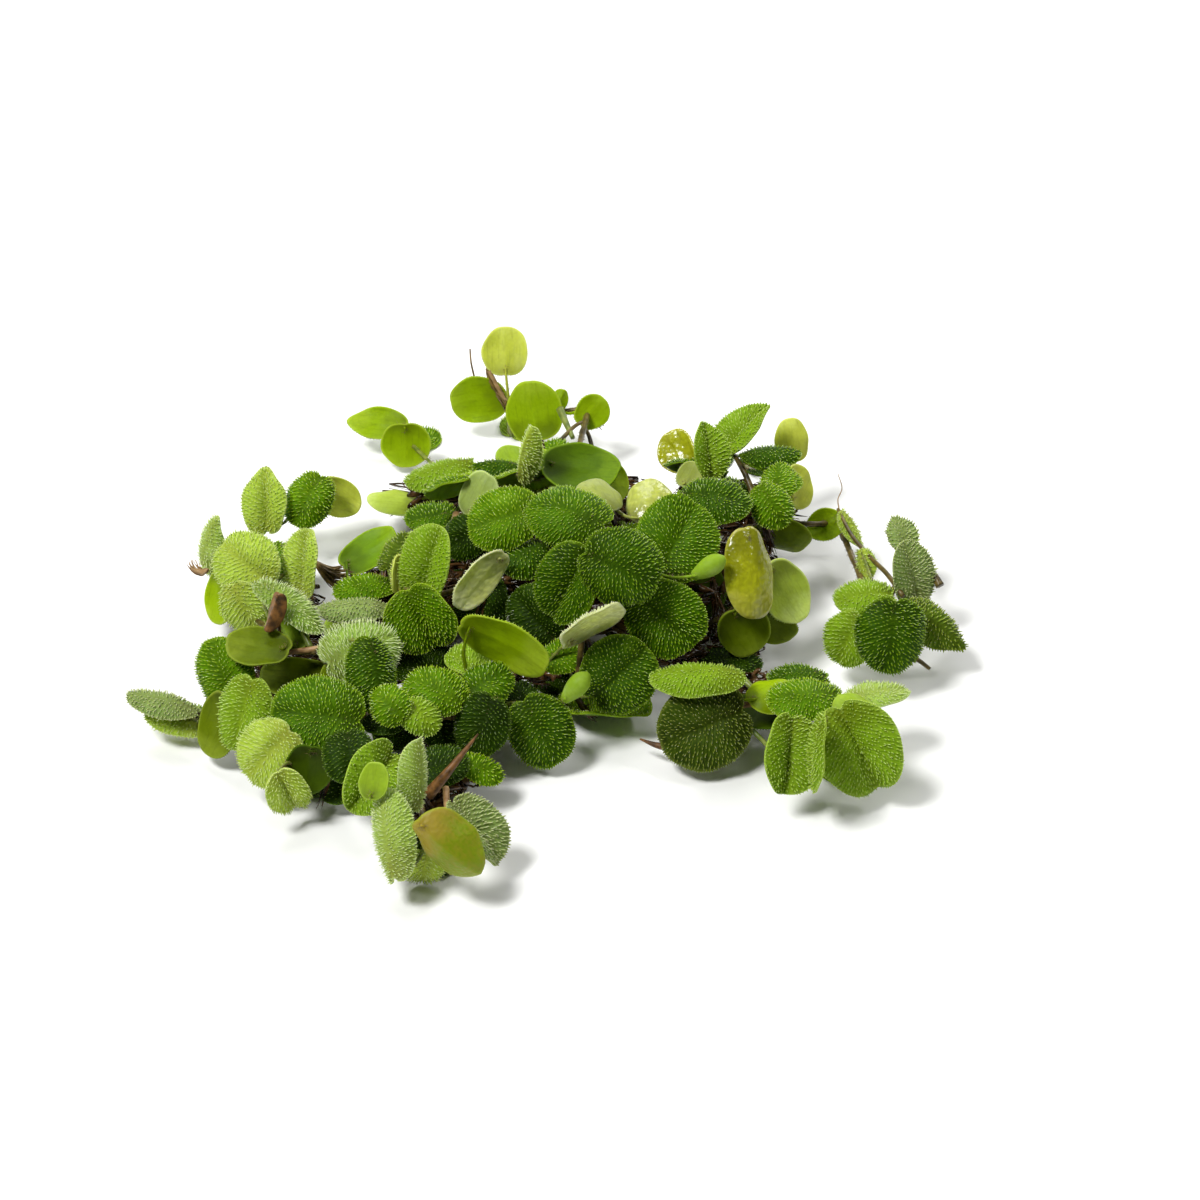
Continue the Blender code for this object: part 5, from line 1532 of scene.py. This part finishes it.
@dataclass
class Sprig:
    """One branch of the clump: its whorls of leaves and the rhizome that joins them.

    The stalk's end lies under the leaf by its inset and bends at its elbow. A knot thickens each
    node, by a height and a radius for each ring. Sizes are in millimetres.
    """

    name: str
    whorls: list[list[Leaf]]
    hubs: list[Vector] = field(default_factory=list)
    root_ends: list[Vector] = field(default_factory=list)
    stalk_radius: float = 0.36
    stalk_taper: float = 0.3
    stalk_inset: Triple = (0.36, 0.2, 0.0)
    stalk_rings: int = 13
    stalk_sides: int = 7
    elbow_place: float = 0.55
    elbow_pull: Pair = (1.2, 0.2)
    under_reach: float = 0.4
    rhizome_radius: float = 0.55
    rhizome_sag: float = 1.0
    rhizome_rings: int = 18
    rhizome_sides: int = 9
    rhizome_unevenness: float = 0.12
    green_thinness: float = 0.6
    knot: tuple[Pair, ...] = ((-1.0, 0.35), (-0.6, 0.85), (0, 1.05), (0.6, 0.8), (1.0, 0.3))
    hairs_per_mm: float = 7.0
    hair_lengths: Pair = (0.35, 0.75)
    hair_radius: float = 0.045
    hair_rooting: float = 0.8
    hair_slant: float = 0.4
    root_strands: int = 12
    root_spread: float = 0.6
    root_share: float = 0.75
    short_root_share: float = 0.45

    @property
    def leaves(self) -> list[Leaf]:
        """The leaves of all its whorls."""
        return [leaf for whorl in self.whorls for leaf in whorl]

    def stalk_path(self, hub: Vector, leaf: Leaf) -> list[Vector]:
        """The way of a stalk from its node into the leaf's midrib."""
        reach = STALK_REACH * (self.under_reach if leaf.under else 1.0)
        y = np.array((0.0, 0.5, 1.0)) * reach - leaf.length / 2 * (1 - BASE_NOTCH)
        points, normals = Blade(leaf, self.name).shape(np.zeros(3), y)
        inset = np.array(self.stalk_inset)[:, None]
        end, between, inside = (Vector(point) for point in points - normals * inset)
        way = (inside - end).normalized()
        most, share = self.elbow_pull
        elbow = hub.lerp(end, self.elbow_place) - way * min(most, (end - hub).length * share)
        return curve_through([hub, elbow, end, between, inside], self.stalk_rings)

    def stalks(self, weave: Weave, finishes: Finishes) -> list[list[Vector]]:
        """Adds the stalks with the midribs that go on from them, and gives their paths."""
        paths = []
        for hub, whorl in zip(self.hubs, self.whorls):
            for leaf in whorl:
                path = self.stalk_path(hub, leaf)
                radii = np.linspace(self.stalk_radius, self.stalk_radius * self.stalk_taper, len(path))
                shell = tube(path, radii, self.stalk_sides)
                skin = finishes.under[leaf.tone] if leaf.under else finishes.strand["stalk_green"]
                # The colour that the leaf has beside the midrib, near its base
                mark = (0.6, 1.6 - leaf.length / 2, 0.5)
                weave.add(*shell, skin, np.zeros_like(shell[0]) + mark)
                paths.append(path)
        return paths

    def rhizomes(self, weave: Weave, finishes: Finishes) -> list[list[Vector]]:
        """Adds the rhizome between the nodes and its far end in the heap, and gives the paths."""
        paths = []
        ends = [from_view(*end) for end in RUNNERS.get(self.name, [])]
        if ends:
            start = min(self.hubs, key=lambda hub: (hub - ends[0]).length)
            paths.append(curve_through([start, *ends], self.rhizome_rings))
        for near, far in zip(self.hubs, self.hubs[1:]):
            sag = SAGS.get(self.name, self.rhizome_sag)
            paths.append(curve_through(arc(near, far, sag, 4), self.rhizome_rings))
        draw = dice(self.name, "rhizome")
        skin, thick = "rhizome_tan", self.rhizome_radius
        if self.name in GREEN_STEMMED:
            skin, thick = "stalk_green", thick * self.green_thinness
        for path in paths:
            radii = thick * (1 + self.rhizome_unevenness * draw.normal(0, 1, len(path)))
            weave.add(*tube(path, radii, self.rhizome_sides), finishes.strand[skin])
        for hub in self.hubs:
            path = [hub + Vector((0, 0, rise)) for rise, _ in self.knot]
            shell = tube(path, [radius for _, radius in self.knot], self.rhizome_sides)
            weave.add(*shell, finishes.strand["rhizome_tan"])
        return paths

    def stem_hairs(
        self, weave: Weave, finishes: Finishes, paths: list[list[Vector]], radius: float
    ) -> None:
        """Adds the fine brown hairs of stalks and rhizomes."""
        draw = dice(self.name, "stem hairs", str(radius))
        feet, ways = [], []
        for here, there in (span for path in paths for span in zip(path, path[1:])):
            run = there - here
            ahead = run.normalized()
            across = ahead.orthogonal().normalized()
            other = ahead.cross(across)
            for share, turn in draw.uniform(0, 1, (int(run.length * self.hairs_per_mm) + 1, 2)):
                out = turned(across, other, 2 * math.pi * turn)
                feet.append(here + run * share + out * radius * self.hair_rooting)
                ways.append((out + ahead * draw.normal(0, self.hair_slant)).normalized())
        if not feet:
            return
        heights = draw.uniform(*self.hair_lengths, len(feet))
        chance = draw.uniform(0, 1, len(feet))
        hairs = spikes(np.array(feet), np.array(ways), heights, ((0.0, self.hair_radius),), chance)
        weave.add(*hairs[:2], finishes.strand["stem_hair_brown"], hairs[2])

    def roots(self, weave: Weave, finishes: Finishes) -> None:
        """Adds the brown root-like leaf of each node, a wet tuft of strands."""
        share = self.short_root_share if self.name in SHORT_ROOTED else self.root_share
        for number, (hub, end) in enumerate(zip(self.hubs, self.root_ends)):
            name = f"{self.name}/{number}"
            tuft(weave, finishes, name, hub, hub.lerp(end, share), self.root_strands, self.root_spread)

    def build(self, finishes: Finishes) -> list[Object]:
        """Builds the sprig's pieces.

        Args:
            finishes: the shared materials.

        Returns:
            Its leaves, papillae, stems and roots.
        """
        leaves, hairs, stems, roots = Weave(), Weave(), Weave(), Weave()
        for leaf in self.leaves:
            blade = Blade(leaf, self.name)
            if leaf.tone is Tone.BUD:
                blade.bud(leaves, finishes)
                continue
            blade.surface(leaves, finishes)
            if leaf.tone is not Tone.WITHERED:
                blade.papillae(hairs, finishes)
        stalks = self.stalks(stems, finishes)
        rhizomes = self.rhizomes(stems, finishes)
        self.stem_hairs(stems, finishes, stalks, self.stalk_radius)
        self.stem_hairs(stems, finishes, rhizomes, self.rhizome_radius)
        self.roots(roots, finishes)
        named = {"leaves": leaves, "papillae": hairs, "stems": stems, "roots": roots}
        return [weave.piece(f"{self.name}_{word}") for word, weave in named.items()]


def tuft(
    weave: Weave,
    finishes: Finishes,
    name: str,
    start: Vector,
    end: Vector,
    strands: int,
    spread: float,
    finish: str = "root_wet_brown",
) -> None:
    """Adds a tuft of wavy strands, every third one a flat wet lock.

    Args:
        weave: the mesh that gets them.
        finishes: the shared materials.
        name: what its irregularities are drawn from.
        start: where they grow from.
        end: where the middle one ends.
        strands: how many there are.
        spread: how far they part on the way.
        finish: the strand material's name.
    """
    draw = dice(name, "tuft")
    run, count = end - start, len(LOCK_TAPER)
    side = run.orthogonal().normalized()
    other = run.normalized().cross(side)
    for number in range(strands):
        turn, out = draw.uniform(0, 2 * math.pi), math.sqrt(draw.uniform(0, 1))
        away = side * math.cos(turn) * out + other * math.sin(turn) * out
        length = draw.uniform(*TUFT.lengths)
        phase, curl = draw.uniform(0, 2 * math.pi, 2)
        path = []
        for step in range(count):
            share = step / (count - 1)
            first, second = (turns * share for turns in TUFT.turns)
            sway = side * math.sin(first + phase) + other * math.sin(second + curl)
            point = start + run * share * length + away * (TUFT.foot + spread * share)
            point += sway * TUFT.sway * share
            point.z = max(point.z - TUFT.sag * math.sin(math.pi * share), TUFT.lowest)
            path.append(point)
        if number % 3:
            thick = draw.uniform(*TUFT.thin)
            shell = tube(path, np.linspace(thick, thick * TUFT.thinning, count), 3)
        else:
            shell = tube(path, draw.uniform(*TUFT.thick) * LOCK_TAPER, 6, TUFT.flatness)
        weave.add(*shell, finishes.strand[finish])


def mat(weave: Weave, finishes: Finishes, item: RootMat) -> None:
    """Adds a tangle of wet strands and locks that fills the space between the leaves, a dark mass that is
    partly painted shade.
    """
    draw = dice(item.name, "mat")
    middle, radii = from_view(*item.at), Vector(item.radii)
    for number in range(item.locks):
        ends = []
        for _ in range(3):
            way = Vector(draw.normal(0, 1, 3)).normalized() * draw.uniform(*TANGLE.spread) ** 0.5
            ends.append(middle + Vector(w * r for w, r in zip(way, radii)))
        reach = draw.uniform(*TANGLE.lengths)
        ends = [ends[1].lerp(ends[0], reach), ends[1], ends[1].lerp(ends[2], reach)]
        for point in ends:
            point.z = max(point.z, TANGLE.lowest)
        path = curve_through(ends, len(MAT_TAPER))
        span, sides = (TANGLE.thin, 3) if number % 3 else (TANGLE.thick, 5)
        shell = tube(path, draw.uniform(*span) * MAT_TAPER, sides, TANGLE.flatness)
        weave.add(*shell, finishes.strand[item.finish])


@dataclass
class Clump:
    """The whole plant: all sprigs settled against each other, with loose ends and root tufts."""

    sprigs: list[Sprig] = field(default_factory=list)
    thread_rings: int = 16
    thread_sides: int = 6

    def settle(self) -> None:
        """Slides each leaf along the line of sight until it clears the leaves behind it."""
        leaves = {
            (name, number, leaf.name): leaf
            for name, whorls in SPRIGS.items()
            for number, whorl in enumerate(whorls)
            for leaf in whorl
        }
        done, result = [], {}
        order = sorted(
            leaves, key=lambda key: (not leaves[key].resting, leaves[key].centre.dot(TO_VIEWER))
        )
        steps = [SLIDE_STEP * n for n in range(int(SLIDE_LIMIT / SLIDE_STEP))]
        for key in order:
            leaf = leaves[key]
            if not leaf.resting and leaf.lowest() < CLEARANCE:
                leaf = leaf.moved((CLEARANCE - leaf.lowest()) / SIN_VIEW)
            found = leaf
            for step in [] if leaf.resting else steps:
                trial = leaf.moved(step)
                tree = BVHTree.FromPolygons(*trial.solid(CLEARANCE / 2))
                reach = trial.length * NEAR_SHARE
                near = [o for o in done if (o[0] - trial.centre).length < o[2] + reach]
                if not any(tree.overlap(other[1]) for other in near):
                    found = trial
                    break
            tree = BVHTree.FromPolygons(*found.solid(CLEARANCE / 2))
            done.append((found.centre, tree, found.length * NEAR_SHARE))
            result[key] = found
        for name, whorls in SPRIGS.items():
            moved = [
                [result[(name, number, leaf.name)] for leaf in whorl]
                for number, whorl in enumerate(whorls)
            ]
            self.sprigs.append(Sprig(name, moved))

    def find_hubs(self) -> None:
        """Finds the node of every whorl, behind its leaf bases, as the solids have it."""
        points, faces, owners = [], [], []
        for leaf in (leaf for sprig in self.sprigs for leaf in sprig.leaves):
            sheet, triangles, _ = leaf.sheet()
            start = len(points)
            points += [leaf.world(point) for point in sheet]
            faces += [tuple(start + corner for corner in face) for face in triangles]
            owners += [leaf] * len(triangles)
        tree = BVHTree.FromPolygons(points, faces)
        for sprig in self.sprigs:
            sprig.hubs = [hub_of(whorl, tree, owners) for whorl in sprig.whorls]
            sprig.root_ends = [root_path(hub, tree, owners)[-1] for hub in sprig.hubs]

    def build(self, finishes: Finishes) -> None:
        """Builds every sprig and the loose ends, and ties each piece to the frame."""
        self.settle()
        self.find_hubs()
        for sprig in self.sprigs:
            for piece in sprig.build(finishes):
                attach(piece, "root")
                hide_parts(sprig.name)
                LOG.info("%s: %d triangles", piece.name, len(piece.data.polygons))
        tangles, loose = Weave(), Weave()
        for item in ROOT_MATS:
            mat(tangles, finishes, item)
        for item in ROOTLETS:
            start, end = from_view(*item.at), from_view(*item.end)
            tuft(loose, finishes, item.name, start, end, item.strands, item.spread, item.finish)
        for thread in THREADS:
            path = curve_through([from_view(*point) for point in thread.through], self.thread_rings)
            radii = np.linspace(*thread.radii, self.thread_rings)
            loose.add(*tube(path, radii, self.thread_sides), finishes.strand[thread.finish])
        for weave, name in ((tangles, "root_tangles"), (loose, "loose_roots_and_stems")):
            piece = weave.piece(name)
            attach(piece, "root")
            LOG.info("%s: %d triangles", piece.name, len(piece.data.polygons))


def pierced(
    tree: BVHTree, owners: list[Leaf], start: Vector, end: Vector, own: Leaf | None
) -> int:
    """How many leaves other than own lie across the way from start to end."""
    way = end - start
    left, ahead, hits = way.length, way.normalized(), 0
    while left > SKIN:
        spot, _, face, distance = tree.ray_cast(start, ahead, left)
        if spot is None:
            break
        hits += owners[face] is not own
        start = spot + ahead * SKIN
        left -= distance + SKIN
    return hits


def hub_of(leaves: list[Leaf], tree: BVHTree, owners: list[Leaf]) -> Vector:
    """The node of the rhizome that a whorl grows from, as the solids have it.

    Args:
        leaves: the leaves of the whorl.
        tree: a search tree of every leaf's middle surface.
        owners: the leaf of each of its faces.

    Returns:
        The node's middle.
    """
    ends = [(leaf, leaf.base(STALK_REACH)) for leaf in leaves if not leaf.resting]
    middle = sum((end for _, end in ends), Vector()) / len(ends)
    best = None
    for depth in HUB_DEPTHS:
        for across in HUB_SHIFTS:
            for up in HUB_SHIFTS:
                hub = middle - TO_VIEWER * depth + SCREEN_RIGHT * across + SCREEN_UP * up
                hub.z = max(hub.z, NODE_RADIUS + CLEARANCE)
                hits = sum(pierced(tree, owners, hub, end, leaf) for leaf, end in ends)
                _, _, _, gap = tree.find_nearest(hub)
                hits += gap < NODE_RADIUS
                sight = hub + (EYE - hub).normalized() * SIGHT
                hits += 0 if pierced(tree, owners, hub, sight, None) else SHOWS_COST
                stalks = sum((end - hub).length for _, end in ends)
                if best is None or (hits, stalks) < best[0]:
                    best = ((hits, stalks), hub)
    return best[1]


def root_path(hub: Vector, tree: BVHTree, owners: list[Leaf]) -> list[Vector]:
    """The way of a node's root-like leaf, which droops to the ground where it meets least.

    Args:
        hub: the node's middle.
        tree: a search tree of every leaf's middle surface.
        owners: the leaf of each of its faces.

    Returns:
        Points along it, as the solids have it.
    """
    best = None
    for number in range(ROOT_TURNS):
        across = compass(2 * math.pi * number / ROOT_TURNS) * ROOT_REACH
        end = hub + across - Vector((0, 0, min(ROOT_DROP, hub.z - 1.0)))
        path = arc(hub, end, ROOT_SAG, 3)
        hits = sum(pierced(tree, owners, *span, None) for span in zip(path, path[1:]))
        if best is None or hits < best[0]:
            best = (hits, path)
    return best[1]


class Lamp(NamedTuple):
    """A square soft lamp: its place and size in millimetres, and its power in watts."""

    name: str
    at: Triple
    size: float
    power: float


@dataclass
class Studio:
    """The pale board, the soft lights and the camera.

    The key lamp hangs high on the left, and weaker ones hang behind and on the right.
    """

    board_size: float = 4000.0
    lamps: tuple[Lamp, ...] = (
        Lamp("key_softbox", (-500, -290, 1020), 300, 13.0),
        Lamp("top_softbox", (-200, 500, 1000), 500, 4.4),
        Lamp("back_softbox", (500, 900, 600), 500, 5.0),
        Lamp("side_softbox", (620, -60, 760), 120, 1.5),
    )
    aim: Triple = (0, 0, 10)
    room_light: float = 0.09
    nearest_seen: float = 10.0

    def build(self) -> None:
        """Puts everything round the clump."""
        self.board()
        self.lights()
        self.camera()

    def board(self) -> None:
        """Lays the pale board under the clump."""
        half = self.board_size / 2 * MM
        mesh = bpy.data.meshes.new("board")
        corners = [(-half, -half, 0), (half, -half, 0), (half, half, 0), (-half, half, 0)]
        mesh.from_pydata(corners, [], [(0, 1, 2, 3)])
        mesh.materials.append(FloorPaint().material())
        board = shown("board", mesh)

    def lights(self) -> None:
        """Hangs the lamps, which look at the clump, in a pale room."""
        for lamp in self.lamps:
            data = bpy.data.lights.new(lamp.name, "AREA")
            data.size = lamp.size * MM
            data.energy = lamp.power
            made, place = shown(lamp.name, data), Vector(lamp.at)
            made.location = place * MM
            turn = (Vector(self.aim) - place).to_track_quat("-Z", "Y")
            made.rotation_euler = turn.to_euler()
        world = bpy.data.worlds.new("pale_room")
        world.use_nodes = True
        background = world.node_tree.nodes["Background"]
        background.inputs["Color"].default_value = linear("#ffffff")
        background.inputs["Strength"].default_value = self.room_light
        bpy.context.scene.world = world
        bpy.context.scene.view_settings.view_transform = "Standard"

    def camera(self) -> None:
        """Sets the camera where the photograph was taken from."""
        data = bpy.data.cameras.new("photograph")
        data.sensor_width = SENSOR_WIDTH
        data.lens = FOCAL_PX / IMAGE_WIDTH_PX * SENSOR_WIDTH
        data.clip_start = self.nearest_seen * MM
        made = shown("photograph", data)
        made.location = EYE * MM
        made.rotation_euler = (math.radians(90 - VIEW_ELEVATION), 0.0, 0.0)
        bpy.context.scene.camera = made


# Sprigs whose own roots stay hidden behind their leaves
SHORT_ROOTED = {"left_upper_branch", "back_sprig", "back_left_pair", "upper_right_tip", "right_sprig"}

# Sprigs whose young rhizome is still green
GREEN_STEMMED = {"back_left_pair"}

# Rhizomes that hang lower than the others, by how many millimetres
SAGS = {"left_upper_branch": 4.0}

# Root tufts between the leaves: pixels and height of both ends, strands and spread
ROOTLETS = [
    Rootlets("crown_top", (612, 500, 24), (630, 516, 20), 26, 2.6),
    Rootlets("yellow_column", (712, 575, 16), (716, 640, 8), 40, 3.0),
    Rootlets("back_column", (541, 440, 22), (544, 476, 16), 22, 1.8),
    Rootlets("left_wet", (466, 496, 10), (392, 500, 5), 30, 3.0),
    Rootlets("middle_wet", (470, 560, 18), (452, 606, 10), 30, 2.6),
    Rootlets("left_brown", (316, 563, 12), (350, 581, 8), 46, 2.6, "root_mat_brown"),
    Rootlets("back_hairy", (487, 368, 15), (508, 407, 9), 26, 0.9, "root_mat_brown"),
    Rootlets("left_strands", (330, 648, 14), (300, 660, 8), 14, 1.6),
    Rootlets("right_wet", (756, 490, 16), (800, 528, 12), 26, 2.0),
    Rootlets("dry_left_tip", (208, 570, 11), (190, 562, 11), 12, 0.6, "root_dry_tan"),
]

# Tangles of roots that fill the heap, dark as wet roots and as painted shade in the gaps between the leaves
ROOT_MATS = [
    RootMat("heap_core", (600, 590, 14), (22, 12, 8), 420),
    RootMat("heap_back", (560, 505, 12), (22, 10, 8), 260),
    RootMat("heap_right", (720, 570, 12), (12, 11, 7), 200),
    RootMat("upper_right", (740, 505, 12), (14, 7, 5), 160),
    RootMat("left_core", (420, 600, 7), (18, 12, 5), 260),
    RootMat("left_back", (450, 500, 6), (14, 8, 5), 160),
    RootMat("left_low", (320, 690, 5), (16, 12, 4), 220),
    RootMat("left_side", (270, 600, 5), (11, 10, 4), 140),
    RootMat("front_core", (450, 705, 5), (15, 9, 4), 180),
    RootMat("front_foot", (420, 790, 4), (8, 9, 3), 90),
    RootMat("right_low", (790, 705, 5), (10, 6, 3), 90),
    RootMat("crown_foot", (690, 655, 6), (8, 5, 3), 90),
    RootMat("right_gap", (738, 640, 8), (6, 5, 4), 70),
    RootMat("left_gap", (262, 672, 5), (6, 4, 3), 50),
    RootMat("left_gap_inner", (312, 644, 7), (5, 4, 3), 50),
    RootMat("lower_right_core", (756, 686, 6), (6, 4, 3), 50),
    RootMat("front_link", (455, 775, 5), (6, 5, 3), 60),
    RootMat("front_core_right", (528, 678, 6), (6, 4, 3), 60),
]

# Single stems and roots that stand out
THREADS = [
    Thread("back_thin_root", ((470, 349, 19), (471, 362, 16), (474, 376, 12)), (0.16, 0.22), "root_dry_tan"),
    Thread(
        "right_thin_root",
        ((838, 474, 17), (842, 488, 15), (838, 499, 14), (839, 509, 13)),
        (0.07, 0.13),
        "root_dry_tan",
    ),
    Thread(
        "right_rhizome",
        ((838, 509, 13), (852, 536, 12), (872, 559, 12), (887, 574, 13), (903, 596, 13)),
        (0.35, 0.5),
        "rhizome_tan",
    ),
    Thread("back_hairy_stem", ((489, 371, 15), (498, 388, 12), (507, 405, 9)), (0.4, 0.5), "root_dry_tan"),
    Thread("back_blade", ((560, 409, 13), (566, 423, 12), (573, 438, 11)), (0.9, 0.5), "stalk_green"),
    Thread("back_stem", ((560, 441, 11), (575, 426, 12), (588, 420, 13)), (0.45, 0.35), "rhizome_tan"),
    Thread("back_stem_right", ((584, 426, 13), (589, 436, 12), (592, 447, 11)), (0.4, 0.5), "rhizome_tan"),
    Thread("upper_right_stem", ((753, 493, 19), (745, 474, 21), (735, 456, 21)), (0.7, 0.5), "rhizome_tan"),
    Thread("dried_stalk", ((457, 514, 19), (452, 535, 18), (462, 553, 16)), (0.8, 0.5), "root_dry_tan"),
    Thread("dead_tip", ((674, 748, 4), (656, 745, 4), (640, 739, 4)), (0.9, 0.15), "spike_brown"),
    Thread("right_knot", ((904, 560, 15), (917, 561, 15), (927, 567, 14)), (0.9, 1.1), "root_wet_brown"),
    Thread("right_late_bud", ((928, 566, 14), (935, 576, 13), (940, 586, 12)), (0.3, 0.9), "rhizome_tan"),
    Thread("lower_stalk", ((732, 706, 9), (750, 704, 11), (771, 699, 12)), (0.6, 0.5), "root_dry_tan"),
    Thread("link_stem", ((731, 667, 10), (743, 679, 10), (757, 693, 9)), (0.6, 0.6), "stalk_green"),
    Thread("low_link", ((745, 724, 7), (755, 733, 7), (767, 745, 6)), (0.5, 0.4), "stalk_green"),
    Thread("left_stalk", ((284, 653, 14), (315, 649, 16), (348, 645, 15)), (0.5, 0.6), "root_dry_tan"),
    Thread("left_pale_stalk", ((293, 616, 19), (302, 630, 17), (311, 648, 15)), (0.5, 0.6), "stalk_green"),
    Thread(
        "front_brown_spike",
        ((428, 795, 8), (447, 773, 12), (463, 753, 14), (478, 734, 15)),
        (1.1, 0.15),
        "spike_brown",
    ),
    Thread("front_pale_stalk", ((446, 788, 12), (447, 806, 12), (450, 825, 12)), (0.6, 0.5), "root_dry_tan"),
    Thread("right_stub", ((905, 654, 8), (918, 660, 7), (930, 669, 6)), (0.5, 0.35), "rhizome_tan"),
]


def main() -> None:
    """Builds the clump and its setting."""
    finishes = Finishes()
    Studio().build()
    Clump().build(finishes)


if __name__ == "__main__":
    logging.basicConfig(level=logging.INFO, format="%(message)s")
    main()
